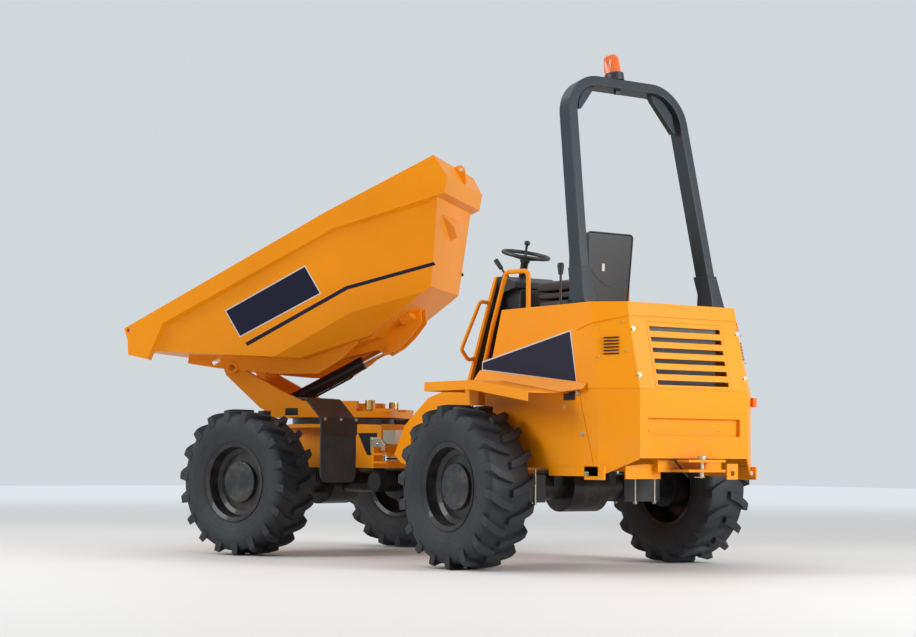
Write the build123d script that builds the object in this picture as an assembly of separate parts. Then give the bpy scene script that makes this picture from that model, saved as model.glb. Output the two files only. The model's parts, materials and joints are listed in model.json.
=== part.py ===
from build123d import *
from math import cos, radians, sin, sqrt, tan
import os

# Articulated site dumper with a swivel skip, in millimetres.
# Machine frame while modelling: origin on the ground under the steering pivot,
# +X forward along the rear frame, +Y to the driver's left, +Z up.
# Front frame: the machine frame turned about the steering pivot.
# Turntable frame: on the ground under the slew ring, +X the way the skip faces.
# Skip frame: origin on the tipping pivot, with the skip's rim level.

# ---- driving dimensions -----------------------------------------------------
TYRE_RADIUS = 516.0          # out to the lug tips
TYRE_WIDTH = 345.0
LUG_HEIGHT = 36.0
LUG_PITCHES = 18             # lugs on each half of the tread
LUG_ROOT = 428.0             # where a lug starts, inside the shoulder
LUG_SAG = 1.8                # flat top of a lug below the tip radius
LUG_TAPER = 7.0              # draft of a lug's sides, degrees
TYRE_SIDES = 24
SIDEWALL_RADIUS = 398.0      # widest part of the casing
CROWN_HALF = 138.0
BEAD_RADIUS = 262.0
RIM_FLANGE_RADIUS = 279.0
HUB_RADIUS = 146.0
TRACK = 1803.0               # between tyre centres
REAR_AXLE_X = -1249.0
FRONT_AXLE_X = 1265.0        # in the front frame
AXLE_RADIUS = 85.0
SPINDLE_RADIUS = 45.0
SLEW_X = 1150.0              # slew ring centre, in the front frame

STEER_REST = 16.5            # front frame turned to the left, degrees
SWIVEL_REST = 23.6           # skip swivelled to the left of the front frame
TIP_REST = 30.0              # skip's rim turned nose down from level

RUNNING_GAP = 0.05           # radial, pin in bore
SEAT_GAP = 0.3               # soft or curved pieces at rest

# rear body
BODY_TOP_Z = 1648.0
BODY_SEAM_Z = 1117.0         # between the bonnet and the lower covers
SKIRT_Z = 640.0              # bottom edge of the side skirts
REAR_COVER_Z = 710.0         # bottom edge of the rear cover
BODY_REAR_X = -2390.0        # rear face at the seam
BODY_REAR_TOP_X = -2266.0    # rear face at the top
BODY_HALF = 627.0            # half width at the seam
BODY_TOP_HALF = 596.0
REAR_FACE_HALF = 440.0       # rear face between the chamfers
CHAMFER_X = 165.0
SHEET = 8.0                  # bodywork plate
BODY_FRONT_X = -1085.0       # front of the bonnet at its foot
BODY_FRONT_TOP_X = -1215.0
DECK_Z = 1184.0              # top of the fenders and the driver's floor
DECK_PLATE = 20.0
DECK_FRONT_X = -620.0
FENDER_OUTER_Y = 950.0
FENDER_FRONT_X = -859.0
FENDER_BEND_X = -1364.0      # where the fender starts to fall to the rear
FENDER_REAR_X = -1949.0
FENDER_REAR_Z = 1100.0
FENDER_LIP = 60.0
LOUVRE_ROWS = 6
LOUVRE_PITCH = 66.0
LOUVRE_HEIGHT = 28.0
LOUVRE_HALF = 290.0
LOUVRE_LOW_Z = 1135.0

PLATE_HOLE_Y = 300.0         # number plate fixing holes
PLATE_HOLE_Z = 850.0
PLATE_HOLE_RADIUS = 4.0
TOW_PIN_X = -2450.0
TOW_PIN_RADIUS = 14.0

# roll-over hoop
HOOP_BASE_X = -1956.0
HOOP_BASE_HALF = 537.0       # centre lines
HOOP_TOP_HALF = 448.0
HOOP_TOP_Z = 3090.0
HOOP_LEAN = 0.187            # forward run per unit of height
HOOP_DEPTH = 110.0           # section along X
HOOP_WIDTH = 64.0            # section across
HOOP_BEND = 235.0            # centre-line bend radius
HOOP_FOOT = 12.0
BEACON_Y = 40.0

# driver's place
SEAT_X = -1330.0             # centre of the cushion
SEAT_HALF = 205.0
SEAT_TOP_Z = 1850.0
SEAT_BACK_X = -1600.0
SEAT_BACK_TOP_Z = 2150.0
WHEEL_X = -695.0             # steering wheel centre
WHEEL_Z = 2084.0
WHEEL_RADIUS = 170.0
WHEEL_GRIP = 14.0
COLUMN_TILT = 15.0           # column leans back, degrees from vertical
COLUMN_RADIUS = 26.0
CONSOLE_X = -640.0           # leg shield
CONSOLE_TOP_Z = 1925.0
CONSOLE_TOP_HALF = 220.0
CONSOLE_LOW_HALF = 450.0

# steering pivot and ram
PIVOT_PIN_RADIUS = 40.0
YOKE_TOP = (800.0, 840.0)    # low and high faces of the yoke's plates
YOKE_LOW = (560.0, 600.0)
YOKE_RADIUS = 110.0
LUG_CLEAR = 5.0              # pivot lug to each yoke plate
NECK_END = 560.0             # where either neck meets its frame
RAM_Z = 690.0
RAM_PIN_X = 460.0            # both ends, from the pivot
RAM_PIN_Y = 320.0
RAM_PIN_RADIUS = 15.0
STEER_BARREL_RADIUS = 36.0
STEER_ROD_RADIUS = 18.0
STEER_BARREL_LENGTH = 600.0

# slew ring and turntable
FRAME_TOP_Z = 935.0
FRAME_LOW_Z = 620.0
RAIL_TOP_Z = 760.0           # rear frame rails
FRAME_HALF = 260.0
FRAME_FRONT_X = 1500.0
SLEW_RADIUS = 400.0
SLEW_TOP_Z = 985.0
PLATE_TOP_Z = 1030.0
TURRET_REAR_U = -450.0
TURRET_FRONT_U = 490.0
ARM_INNER = 310.0
ARM_OUTER = 370.0
ARM_EYE_RADIUS = 72.0
TIP_U = 740.0                # tipping pivot in the turntable frame
TIP_Z = 1350.0
TIP_PIN_RADIUS = 25.0
TIP_RAM_U = 470.0            # lower pin of the tipping ram
TIP_RAM_Z = 1085.0
TIP_EYE = (-1040.0, -416.0)  # upper pin of the ram, X and Z in the skip frame
TIP_BARREL_RADIUS = 50.0
TIP_BARREL_LENGTH = 700.0
TIP_ROD_RADIUS = 30.0
TIP_EYE_HALF = 45.0          # half width of the ram's lower eye
ROD_EYE_RADIUS = 34.0
TIP_BRACKET = (60.0, 76.0)   # inner and outer faces of the plates that hold the rod's eye
BUFFER_Y = 250.0

# skip, in its own frame: X forward, Z up from the tipping pivot
SKIP_PLATE = 8.0
SKIP_FOLD = (-1247.0, 740.0, 412.0)      # ledge height, at the fold in the side
SKIP_FOLD_LOW = (-1043.0, 593.0, -159.0)
SKIP_LEDGE_FRONT = (43.0, 870.0, 370.0)
SKIP_LEDGE_REAR = (-2000.0, 465.0, 269.0)
SKIP_CHINE_FRONT_X = -435.0
SKIP_CHINE_REAR = (-1613.0, 390.0, -253.0)
SKIP_LIP = (450.0, 355.0)                # X and Z of the pouring lip
SKIP_RIM_Z = 535.0
SKIP_RIM_REAR_Z = 552.0
SKIP_TIP_X = 385.0
SKIP_APEX_X = -2125.0
SKIP_RIM_HALF = (920.0, 760.0, 500.0)    # at the tip, the fold and the apex
SKIP_FLOOR_HALF = 420.0
SKIP_FLOOR_FRONT = (-550.0, -244.0)
SKIP_FLOOR_REAR = (-1034.0, -335.0)
BAND_OUT = 52.0                          # overhang of the rim band
BAND_BEVEL = 36.0
LIFT_PLATE = 15.0
LIFT_HOLE = (-10.0, 48.0)                # from the rear edge of the rim
LIFT_HOLE_RADIUS = 12.5
RAIL_INNER = 385.0
RAIL_OUTER = 397.0

# ---- frames -----------------------------------------------------------------
FRONT = Rot(0, 0, STEER_REST)
TURRET = FRONT * Pos(SLEW_X, 0, 0) * Rot(0, 0, SWIVEL_REST)
SKIP = TURRET * Pos(TIP_U, 0, TIP_Z) * Rot(0, TIP_REST, 0)


# ---- helpers ----------------------------------------------------------------
def box(x, y, z):
    """Box between the low and high ends given for each axis."""
    size = [high - low for low, high in (x, y, z)]
    centre = [(high + low) / 2 for low, high in (x, y, z)]
    return Pos(*centre) * Box(*size)


def slab_y(points, low, high):
    """Outline drawn in X and Z, with its thickness along Y."""
    face = Plane.XZ * make_face(Polyline(*points, close=True))
    return Pos(0, high, 0) * extrude(face, high - low)


def slab_x(points, low, high):
    """Outline drawn in Y and Z, with its thickness along X."""
    face = Plane.YZ * make_face(Polyline(*points, close=True))
    return Pos(low, 0, 0) * extrude(face, high - low)


def slab_z(points, low, high):
    """Outline drawn in X and Y, with its thickness along Z."""
    return Pos(0, 0, low) * extrude(make_face(Polyline(*points, close=True)), high - low)


def bar(start, end, radius):
    """Round bar between two points."""
    a, b = Vector(*start), Vector(*end)
    return Plane(origin=a, z_dir=b - a) * Cylinder(
        radius, (b - a).length, align=(Align.CENTER, Align.CENTER, Align.MIN))


def cross_bar(x, z, low, high, radius):
    """Round bar across the machine."""
    return bar((x, low, z), (x, high, z), radius)


def upright(x, y, low, high, radius):
    return bar((x, y, low), (x, y, high), radius)


def tube_rail(points, bend, radius):
    """Round tube along straight runs joined by bends."""
    path = FilletPolyline(*points, radius=bend)
    return sweep(Plane(origin=path @ 0, z_dir=path % 0) * Circle(radius), path=path)


def turned(outline):
    """Solid of revolution about Y from (radius, distance along Y)."""
    return revolve(make_face(Polyline(*outline, close=True)), Axis.Y)


def mirrored(shape):
    """The shape and its twin on the machine's other side."""
    return shape + mirror(shape, Plane.XZ)


# ---- wheels -----------------------------------------------------------------
def facet_turned(outline):
    """Flat-sided solid about Y from a closed outline of (radius, distance along Y)."""
    step = 360 / TYRE_SIDES

    def point(radius, y, k):
        reach = radius / cos(radians(step / 2))
        turn = radians(step * k)
        return (reach * cos(turn), y, reach * sin(turn))
    faces = []
    for (r1, y1), (r2, y2) in zip(outline, outline[1:] + outline[:1]):
        for k in range(TYRE_SIDES):
            corners = [point(r1, y1, k), point(r2, y2, k), point(r2, y2, k + 1), point(r1, y1, k + 1)]
            faces.append(make_face(Polyline(*corners, close=True)).face())
    solid = Solid(Shell(faces))
    return solid if solid.volume > 0 else Solid(solid.wrapped.Reversed())


def tyre_carcass():
    """Flat-sided casing: crown, shoulders and side walls that fall in to the beads."""
    half = TYRE_WIDTH / 2
    bead = half - 45
    outline = [(BEAD_RADIUS, bead), (RIM_FLANGE_RADIUS + 4, bead), (SIDEWALL_RADIUS, half - 2),
               (TYRE_RADIUS - LUG_HEIGHT, CROWN_HALF)]
    return facet_turned(outline + [(radius, -y) for radius, y in reversed(outline)])


def tyre_lug(side):
    """One tapered, cranked bar of the tread, from the middle out over one shoulder."""
    half = TYRE_WIDTH / 2
    # along the tread, across the tread
    outline = [(-64, -4), (-6, -4), (74, half - 1), (18, half - 1), (-28, half - 66)]
    plan = make_face(Polyline(*[(x, side * y) for x, y in outline], close=True))
    return Pos(0, 0, LUG_ROOT) * extrude(plan, TYRE_RADIUS - LUG_SAG - LUG_ROOT, taper=LUG_TAPER)


def tyre():
    pitch = 360 / LUG_PITCHES
    lugs = []
    for side, phase in ((1, 0.0), (-1, 0.5)):
        for k in range(LUG_PITCHES):
            lugs.append(Rot(0, (k + phase) * pitch, 0) * tyre_lug(side))
    return tyre_carcass().fuse(*lugs)


def rim():
    """Dished steel rim with its hub, outer face towards +Y."""
    half = TYRE_WIDTH / 2
    flange = half - 45 + SEAT_GAP
    well = BEAD_RADIUS - SEAT_GAP
    outline = [
        (SPINDLE_RADIUS + RUNNING_GAP, 20), (SPINDLE_RADIUS + RUNNING_GAP, 62), (0, 62), (0, 78),
        (HUB_RADIUS, 78), (HUB_RADIUS, 52), (205, 44), (236, 58), (248, flange), (RIM_FLANGE_RADIUS, flange + 11),
        (RIM_FLANGE_RADIUS, flange), (well, flange), (well, -flange), (RIM_FLANGE_RADIUS, -flange),
        (RIM_FLANGE_RADIUS, -flange - 11), (248, -flange), (236, 36), (205, 24), (150, 34), (130, 20),
    ]
    return turned(outline)


def wheel_place(axle_x, side):
    turn = 0 if side > 0 else 180
    return Pos(axle_x, side * TRACK / 2, TYRE_RADIUS) * Rot(0, 0, turn)


def axle(axle_x, nose_x):
    """Axle casting with its gear housing, a nose towards the drive shaft and the spindles."""
    tube_end = TRACK / 2 - 150
    carrier_end = TRACK / 2 + 14
    z = TYRE_RADIUS
    body = cross_bar(axle_x, z, -tube_end, tube_end, AXLE_RADIUS)
    body += cross_bar(axle_x, z, -150, 150, 165)
    body += bar((axle_x, 0, z), (nose_x, 0, z), 72)
    body += mirrored(cross_bar(axle_x, z, tube_end - 4, carrier_end, 140))
    body += mirrored(cross_bar(axle_x, z, carrier_end, TRACK / 2 + 58, SPINDLE_RADIUS))
    body += mirrored(box((axle_x - 90, axle_x + 90), (180, FRAME_HALF), (z, FRAME_LOW_Z)))
    return body


# ---- rear frame and body ----------------------------------------------------
def rear_frame():
    low, high = YOKE_LOW[0], YOKE_TOP[1]
    neck_top = box((-NECK_END, 0), (-YOKE_RADIUS, YOKE_RADIUS), YOKE_TOP) + upright(0, 0, *YOKE_TOP, YOKE_RADIUS)
    neck_low = box((-NECK_END, 0), (-YOKE_RADIUS, YOKE_RADIUS), YOKE_LOW) + upright(0, 0, *YOKE_LOW, YOKE_RADIUS)
    webs = mirrored(box((-NECK_END, -YOKE_RADIUS - 40), (60, YOKE_RADIUS), (low, high)))
    pin = upright(0, 0, low - 15, high + 15, PIVOT_PIN_RADIUS)
    bulkhead = box((-NECK_END - 30, -NECK_END), (-RAM_PIN_Y - 25, RAM_PIN_Y + 25), (low, 900))
    nose = slab_y([
        (-1000, DECK_Z - DECK_PLATE), (DECK_FRONT_X, DECK_Z - DECK_PLATE), (-150, high), (-1000, high),
    ], -180, 180)
    rails = mirrored(box((-2330, -NECK_END - 30), (180, FRAME_HALF), (FRAME_LOW_Z, RAIL_TOP_Z)))
    cross = box((-2330, -2290), (-FRAME_HALF, FRAME_HALF), (FRAME_LOW_Z, RAIL_TOP_Z))
    seat_beam = box((-1000, -900), (-BODY_HALF + SHEET, BODY_HALF - SHEET), (1040, DECK_Z - DECK_PLATE))
    frame = neck_top + neck_low + webs + pin + bulkhead + nose + rails + cross + seat_beam
    return frame + ram_clevis(-1)


def ram_clevis(side):
    """Two ears for one end of the steering ram; side is -1 at the rear frame, whose pin goes right through."""
    gap, ear, head = 22.0, 15.0, 6.0
    reach = (side * (RAM_PIN_X - 28), side * NECK_END)
    x = (min(reach), max(reach))
    y = (RAM_PIN_Y - 25, RAM_PIN_Y + 25)
    clevis = box(x, y, (RAM_Z + gap, RAM_Z + gap + ear)) + box(x, y, (RAM_Z - gap - ear, RAM_Z - gap))
    inner = 0.0 if side < 0 else gap
    for way in (1, -1):
        ends = sorted((RAM_Z + way * inner, RAM_Z + way * (gap + ear + head)))
        clevis += upright(side * RAM_PIN_X, RAM_PIN_Y, *ends, RAM_PIN_RADIUS)
    return clevis


def body_plan(rear_x, half, front_x, inset):
    """Plan outline of the bodywork with chamfered rear corners."""
    rear, side = REAR_FACE_HALF - inset * 0.4, half - inset
    return [
        (rear_x + inset, -rear), (rear_x + CHAMFER_X + inset * 0.4, -side), (front_x - inset, -side),
        (front_x - inset, side), (rear_x + CHAMFER_X + inset * 0.4, side), (rear_x + inset, rear),
    ]


def body_loft(inset, top_z):
    outlines = ((BODY_SEAM_Z, BODY_REAR_X, BODY_HALF, BODY_FRONT_X),
                (BODY_TOP_Z, BODY_REAR_TOP_X, BODY_TOP_HALF, BODY_FRONT_TOP_X))
    faces = [Pos(0, 0, z) * make_face(Polyline(*body_plan(rear, half, front, inset), close=True))
             for z, rear, half, front in outlines]
    return loft(faces, ruled=True)


def rear_face_x(z):
    """X of the bonnet's leaning rear face."""
    share = (z - BODY_SEAM_Z) / (BODY_TOP_Z - BODY_SEAM_Z)
    return BODY_REAR_X + share * (BODY_REAR_TOP_X - BODY_REAR_X)


def bonnet():
    shell = body_loft(0, BODY_TOP_Z) - Pos(0, 0, -SHEET) * body_loft(SHEET, BODY_TOP_Z)
    window_z = (LOUVRE_LOW_Z - 6, LOUVRE_LOW_Z + LOUVRE_ROWS * LOUVRE_PITCH)
    window = box((BODY_REAR_X - 50, BODY_REAR_X + 250), (-LOUVRE_HALF - 20, LOUVRE_HALF + 20), window_z)
    return shell - window


def louvre_panel():
    """Slotted panel that closes the rear window of the bonnet."""
    low, high = LOUVRE_LOW_Z - 6, LOUVRE_LOW_Z + LOUVRE_ROWS * LOUVRE_PITCH
    outline = [(rear_face_x(low), low), (rear_face_x(high), high),
               (rear_face_x(high) + SHEET, high), (rear_face_x(low) + SHEET, low)]
    panel = slab_y(outline, -LOUVRE_HALF - 20, LOUVRE_HALF + 20)
    for row in range(LOUVRE_ROWS):
        z = LOUVRE_LOW_Z + 10 + row * LOUVRE_PITCH
        panel -= box((BODY_REAR_X - 50, BODY_REAR_X + 250), (-LOUVRE_HALF, LOUVRE_HALF), (z, z + LOUVRE_HEIGHT))
    return panel


def skirts():
    """Side covers below the bonnet, with the chamfered rear corners."""
    outer = body_plan(BODY_REAR_X, BODY_HALF, BODY_FRONT_X, 0)
    inner = body_plan(BODY_REAR_X, BODY_HALF, BODY_FRONT_X + 100, SHEET)
    shell = slab_z(outer, SKIRT_Z, BODY_SEAM_Z) - slab_z(inner, SKIRT_Z - 1, BODY_SEAM_Z + 1)
    rear = box((BODY_REAR_X - 10, BODY_REAR_X + SHEET), (-REAR_FACE_HALF, REAR_FACE_HALF), (SKIRT_Z - 1, BODY_SEAM_Z + 1))
    return shell - rear - box((BODY_FRONT_X - 300, BODY_FRONT_X + 300), (-500, 500), (SKIRT_Z - 1, BODY_SEAM_Z + 1))


def rear_cover():
    """Heavy rear plate with the recess for a number plate."""
    half = REAR_FACE_HALF
    plate = box((BODY_REAR_X, BODY_REAR_X + SHEET), (-half, half), (REAR_COVER_Z, BODY_SEAM_Z))
    hole = bar((BODY_REAR_X - 1, PLATE_HOLE_Y, PLATE_HOLE_Z), (BODY_REAR_X + SHEET + 1, PLATE_HOLE_Y, PLATE_HOLE_Z), PLATE_HOLE_RADIUS)
    return plate - mirrored(hole)


def fender():
    """Left rear fender: flat top, falling tail and a turned-down outer lip."""
    top = [(FENDER_FRONT_X, DECK_Z), (FENDER_BEND_X, DECK_Z), (FENDER_REAR_X, FENDER_REAR_Z)]
    under = [(x, z - SHEET) for x, z in reversed(top)]
    lip = [(x, z - FENDER_LIP) for x, z in reversed(top)]
    plate = slab_y(top + under, BODY_HALF + SEAT_GAP, FENDER_OUTER_Y)
    plate += slab_y(top + lip, FENDER_OUTER_Y - SHEET, FENDER_OUTER_Y)
    front_lip = box((FENDER_FRONT_X - SHEET, FENDER_FRONT_X), (BODY_HALF + SEAT_GAP, FENDER_OUTER_Y), (DECK_Z - FENDER_LIP, DECK_Z))
    return plate + front_lip


def deck():
    half = BODY_HALF
    outline = [(BODY_FRONT_X, -half), (FENDER_FRONT_X, -half), (DECK_FRONT_X, -CONSOLE_LOW_HALF),
               (DECK_FRONT_X, CONSOLE_LOW_HALF), (FENDER_FRONT_X, half), (BODY_FRONT_X, half)]
    return slab_z(outline, DECK_Z - DECK_PLATE, DECK_Z)


def leg_shield():
    outline = [(-CONSOLE_LOW_HALF, DECK_Z), (CONSOLE_LOW_HALF, DECK_Z),
               (CONSOLE_TOP_HALF, CONSOLE_TOP_Z), (-CONSOLE_TOP_HALF, CONSOLE_TOP_Z)]
    return slab_x(outline, CONSOLE_X - 15, CONSOLE_X + 15)


def dash():
    back = CONSOLE_X - 15
    return slab_y([(back, 1800), (back, CONSOLE_TOP_Z), (back - 60, CONSOLE_TOP_Z), (back - 190, 1880), (back - 190, 1840)],
                  -CONSOLE_TOP_HALF + 10, CONSOLE_TOP_HALF - 10)


def column_point(along):
    """Point on the steering column's axis, from the wheel's centre."""
    lean = radians(COLUMN_TILT)
    return (WHEEL_X - along * sin(lean), 0, WHEEL_Z + along * cos(lean))


def steering_column():
    above = box((WHEEL_X - 200, WHEEL_X + 200), (-100, 100), (CONSOLE_TOP_Z, WHEEL_Z + 100))
    return bar(column_point(-18), column_point(-200), COLUMN_RADIUS) & above


def steering_wheel():
    place = Plane(origin=column_point(0), z_dir=Vector(-sin(radians(COLUMN_TILT)), 0, cos(radians(COLUMN_TILT))))
    ring = Torus(WHEEL_RADIUS - WHEEL_GRIP, WHEEL_GRIP)
    hub = Cylinder(34, 36)
    wheel = ring + hub
    for turn in (90, 210, 330):
        spoke = Pos((WHEEL_RADIUS - WHEEL_GRIP) / 2, 0, 0) * Box(WHEEL_RADIUS - WHEEL_GRIP, 26, 10)
        wheel += Rot(0, 0, turn) * spoke
    knob = Pos(-20, WHEEL_RADIUS - WHEEL_GRIP, 12) * Cylinder(20, 50, align=(Align.CENTER, Align.CENTER, Align.MIN))
    return place * (wheel + knob)


def seat_base():
    return box((SEAT_X - 190, SEAT_X + 170), (-SEAT_HALF + 15, SEAT_HALF - 15), (BODY_TOP_Z, 1690))


def seat():
    cushion = box((SEAT_X - 170, SEAT_X + 180), (-SEAT_HALF, SEAT_HALF), (1690 + SEAT_GAP, SEAT_TOP_Z))
    back = slab_y([(SEAT_BACK_X + 60, 1690 + SEAT_GAP), (SEAT_X - 170 - SEAT_GAP, 1720), (SEAT_BACK_X + 40, SEAT_BACK_TOP_Z),
                   (SEAT_BACK_X - 40, SEAT_BACK_TOP_Z - 10), (SEAT_BACK_X, 1700)], -SEAT_HALF, SEAT_HALF)
    return cushion + back


def hoop():
    """Roll-over hoop: rectangular tube bent over the driver, leaning forward."""
    base_z = BODY_TOP_Z + HOOP_FOOT
    plane = Plane(origin=(HOOP_BASE_X, 0, base_z), x_dir=(0, 1, 0), z_dir=(1, 0, -HOOP_LEAN))
    slant = sqrt(1 + HOOP_LEAN ** 2)
    rise = (HOOP_TOP_Z - base_z) * slant
    below = 60.0

    def outline(offset):
        lean_in = (HOOP_BASE_HALF - HOOP_TOP_HALF) / rise
        low, top = HOOP_BASE_HALF + below * lean_in + offset, HOOP_TOP_HALF + offset * (1 - lean_in)
        return FilletPolyline((-low, -below), (-top, rise + offset), (top, rise + offset), (low, -below),
                              radius=HOOP_BEND + offset)
    outer, inner = outline(HOOP_WIDTH / 2), outline(-HOOP_WIDTH / 2)
    face = make_face(outer + Line(outer @ 1, outer @ 0)) - make_face(inner + Line(inner @ 1, inner @ 0))
    body = plane * Pos(0, 0, -HOOP_DEPTH / 2) * extrude(face, HOOP_DEPTH)
    above = box((-4000, 4000), (-1000, 1000), (base_z, 4000))
    return body & above


def hoop_feet():
    plate = box((HOOP_BASE_X - 85, HOOP_BASE_X + 95), (HOOP_BASE_HALF - 60, HOOP_BASE_HALF + 50), (BODY_TOP_Z, BODY_TOP_Z + HOOP_FOOT))
    return mirrored(plate)


def hoop_top():
    """Plane on the middle of the hoop's leaning top face."""
    z = HOOP_TOP_Z + HOOP_WIDTH / 2 / sqrt(1 + HOOP_LEAN ** 2)
    x = HOOP_BASE_X + (z - BODY_TOP_Z - HOOP_FOOT) * HOOP_LEAN
    return Plane(origin=(x, BEACON_Y, z), z_dir=(HOOP_LEAN, 0, 1))


def beacon():
    base = hoop_top() * upright(0, 0, 0, 52, 60)
    lens = hoop_top() * upright(0, 0, 52 + SEAT_GAP, 178, 55)
    return base, lens


def grab_rails():
    """U rails beside the seat and loops on the leg shield's edges."""
    seat_rail = tube_rail([(-1269, 420, BODY_TOP_Z), (-1269, 420, 1908), (-1030, 420, 1918), (-880, 420, 1560),
                           (-800, 420, 1330), (-800, 420, DECK_Z)], 45, 15)
    loop = tube_rail([(CONSOLE_X, 262, 1745), (CONSOLE_X, 345, 1752), (CONSOLE_X, 500, 1420), (CONSOLE_X, 440, 1350),
                      (CONSOLE_X, 380, 1370)], 32, 13)
    return mirrored(seat_rail + (loop - leg_shield()))


def levers():
    gear = bar((-1560, 400, BODY_TOP_Z), (-1560, 400, 1830), 9) + upright(-1560, 400, 1830, 1895, 19)
    skip = upright(-690, 170, CONSOLE_TOP_Z, CONSOLE_TOP_Z + 20, 18)
    skip += bar((-690, 170, CONSOLE_TOP_Z + 15), (-640, 200, 2030), 12)
    return gear + skip


def tow_hitch():
    top_z = REAR_COVER_Z - 14
    top = box((-2500, -2330), (-150, 150), (top_z - 16, top_z))
    low = box((-2500, -2330), (-150, 150), (FRAME_LOW_Z, FRAME_LOW_Z + 16))
    back = box((-2330 - 16, -2330), (-FRAME_HALF, FRAME_HALF), (FRAME_LOW_Z, top_z))
    return top + low + back - upright(TOW_PIN_X, 0, FRAME_LOW_Z - 1, top_z + 1, TOW_PIN_RADIUS + SEAT_GAP)


def tow_pin():
    head = upright(TOW_PIN_X, 0, REAR_COVER_Z - 14, REAR_COVER_Z + 8, TOW_PIN_RADIUS + 12)
    return upright(TOW_PIN_X, 0, FRAME_LOW_Z - 30, REAR_COVER_Z + 8, TOW_PIN_RADIUS) + head


# ---- front frame ------------------------------------------------------------
def front_frame():
    lug_z = (YOKE_LOW[1] + LUG_CLEAR, YOKE_TOP[0] - LUG_CLEAR)
    neck = box((0, NECK_END), (-YOKE_RADIUS + 10, YOKE_RADIUS - 10), (lug_z[0] + 15, lug_z[1] - 15))
    neck += upright(0, 0, *lug_z, YOKE_RADIUS - 10)
    neck -= upright(0, 0, lug_z[0] - 1, lug_z[1] + 1, PIVOT_PIN_RADIUS + RUNNING_GAP)
    half = FRAME_HALF
    chassis = box((NECK_END, FRAME_FRONT_X), (-half, half), (FRAME_LOW_Z, FRAME_TOP_Z))
    chassis -= box((NECK_END + 20, FRAME_FRONT_X - 20), (-half + 20, half - 20), (FRAME_LOW_Z - 1, FRAME_TOP_Z - 25))
    deck_plate = upright(SLEW_X, 0, FRAME_TOP_Z - 25, FRAME_TOP_Z, SLEW_RADIUS + 20)
    wall = box((NECK_END, NECK_END + 20), (-RAM_PIN_Y - 25, RAM_PIN_Y + 25), (FRAME_LOW_Z, 770))
    return neck + chassis + deck_plate + wall + ram_clevis(1)


def mudguard():
    """Left front mudguard: a carrier plate that leans forward over the tyre."""
    carrier = box((640, 650), (FRAME_HALF, 1060), (870, 985))
    top = slab_y([(640, 985), (700, 1090), (780, 1100), (780, 1092), (706, 1082), (650, 985)], 700, 1060)
    return carrier + top


def mud_flap():
    return box((628, 640), (690, 1060), (530, 985))


def slew_ring():
    return upright(SLEW_X, 0, FRAME_TOP_Z, SLEW_TOP_Z, SLEW_RADIUS - 20)


def valve_block():
    return box((NECK_END - 120, NECK_END), (130, 250), (790, 890))


# ---- turntable --------------------------------------------------------------
def turntable():
    half = ARM_OUTER
    plate = slab_z([(TURRET_REAR_U, -half + 60), (-280, -half), (380, -half), (TURRET_FRONT_U, -half + 60),
                    (TURRET_FRONT_U, half - 60), (380, half), (-280, half), (TURRET_REAR_U, half - 60)],
                   SLEW_TOP_Z + SEAT_GAP, PLATE_TOP_Z)
    arm = slab_y([(-216, SLEW_TOP_Z + SEAT_GAP), (380, SLEW_TOP_Z + SEAT_GAP), (526, 1053), (800, 1300), (690, 1390), (640, 1326),
                  (317, 1155), (200, 1105), (-216, 1105)], ARM_INNER, ARM_OUTER)
    arm += cross_bar(TIP_U, TIP_Z, ARM_INNER, ARM_OUTER, ARM_EYE_RADIUS)
    arm -= cross_bar(TIP_U, TIP_Z, ARM_INNER - 1, ARM_OUTER + 1, TIP_PIN_RADIUS + RUNNING_GAP)
    front = slab_y([(520, 1048), (760, 1266), (750, 1277), (510, 1059)], -ARM_INNER, ARM_INNER)
    ear = box((TIP_RAM_U - 40, TIP_RAM_U + 20), (TIP_EYE_HALF + 3, TIP_EYE_HALF + 28), (PLATE_TOP_Z - 5, TIP_RAM_Z + 40))
    ears = mirrored(ear)
    ram_pin = cross_bar(TIP_RAM_U, TIP_RAM_Z, -TIP_EYE_HALF - 28, TIP_EYE_HALF + 28, TIP_PIN_RADIUS)
    rear = box((TURRET_REAR_U, -216), (110, 330), (PLATE_TOP_Z - 5, 1052))
    return plate + mirrored(arm) + front + ears + ram_pin + mirrored(rear)


def rest_buffers():
    """Plated round pads that the lowered skip comes down to."""
    return mirrored(upright(-300, BUFFER_Y, 1052, 1118, 38))


# ---- skip -------------------------------------------------------------------
def plane_through(a, b, c, inside, inset):
    """Plane through three points, its normal pointing away from the inside point, moved in."""
    a, b, c = Vector(*a), Vector(*b), Vector(*c)
    normal = (b - a).cross(c - a).normalized()
    if normal.dot(Vector(*inside) - a) > 0:
        normal = normal * -1
    return Plane(origin=a - normal * inset, z_dir=normal)


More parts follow.
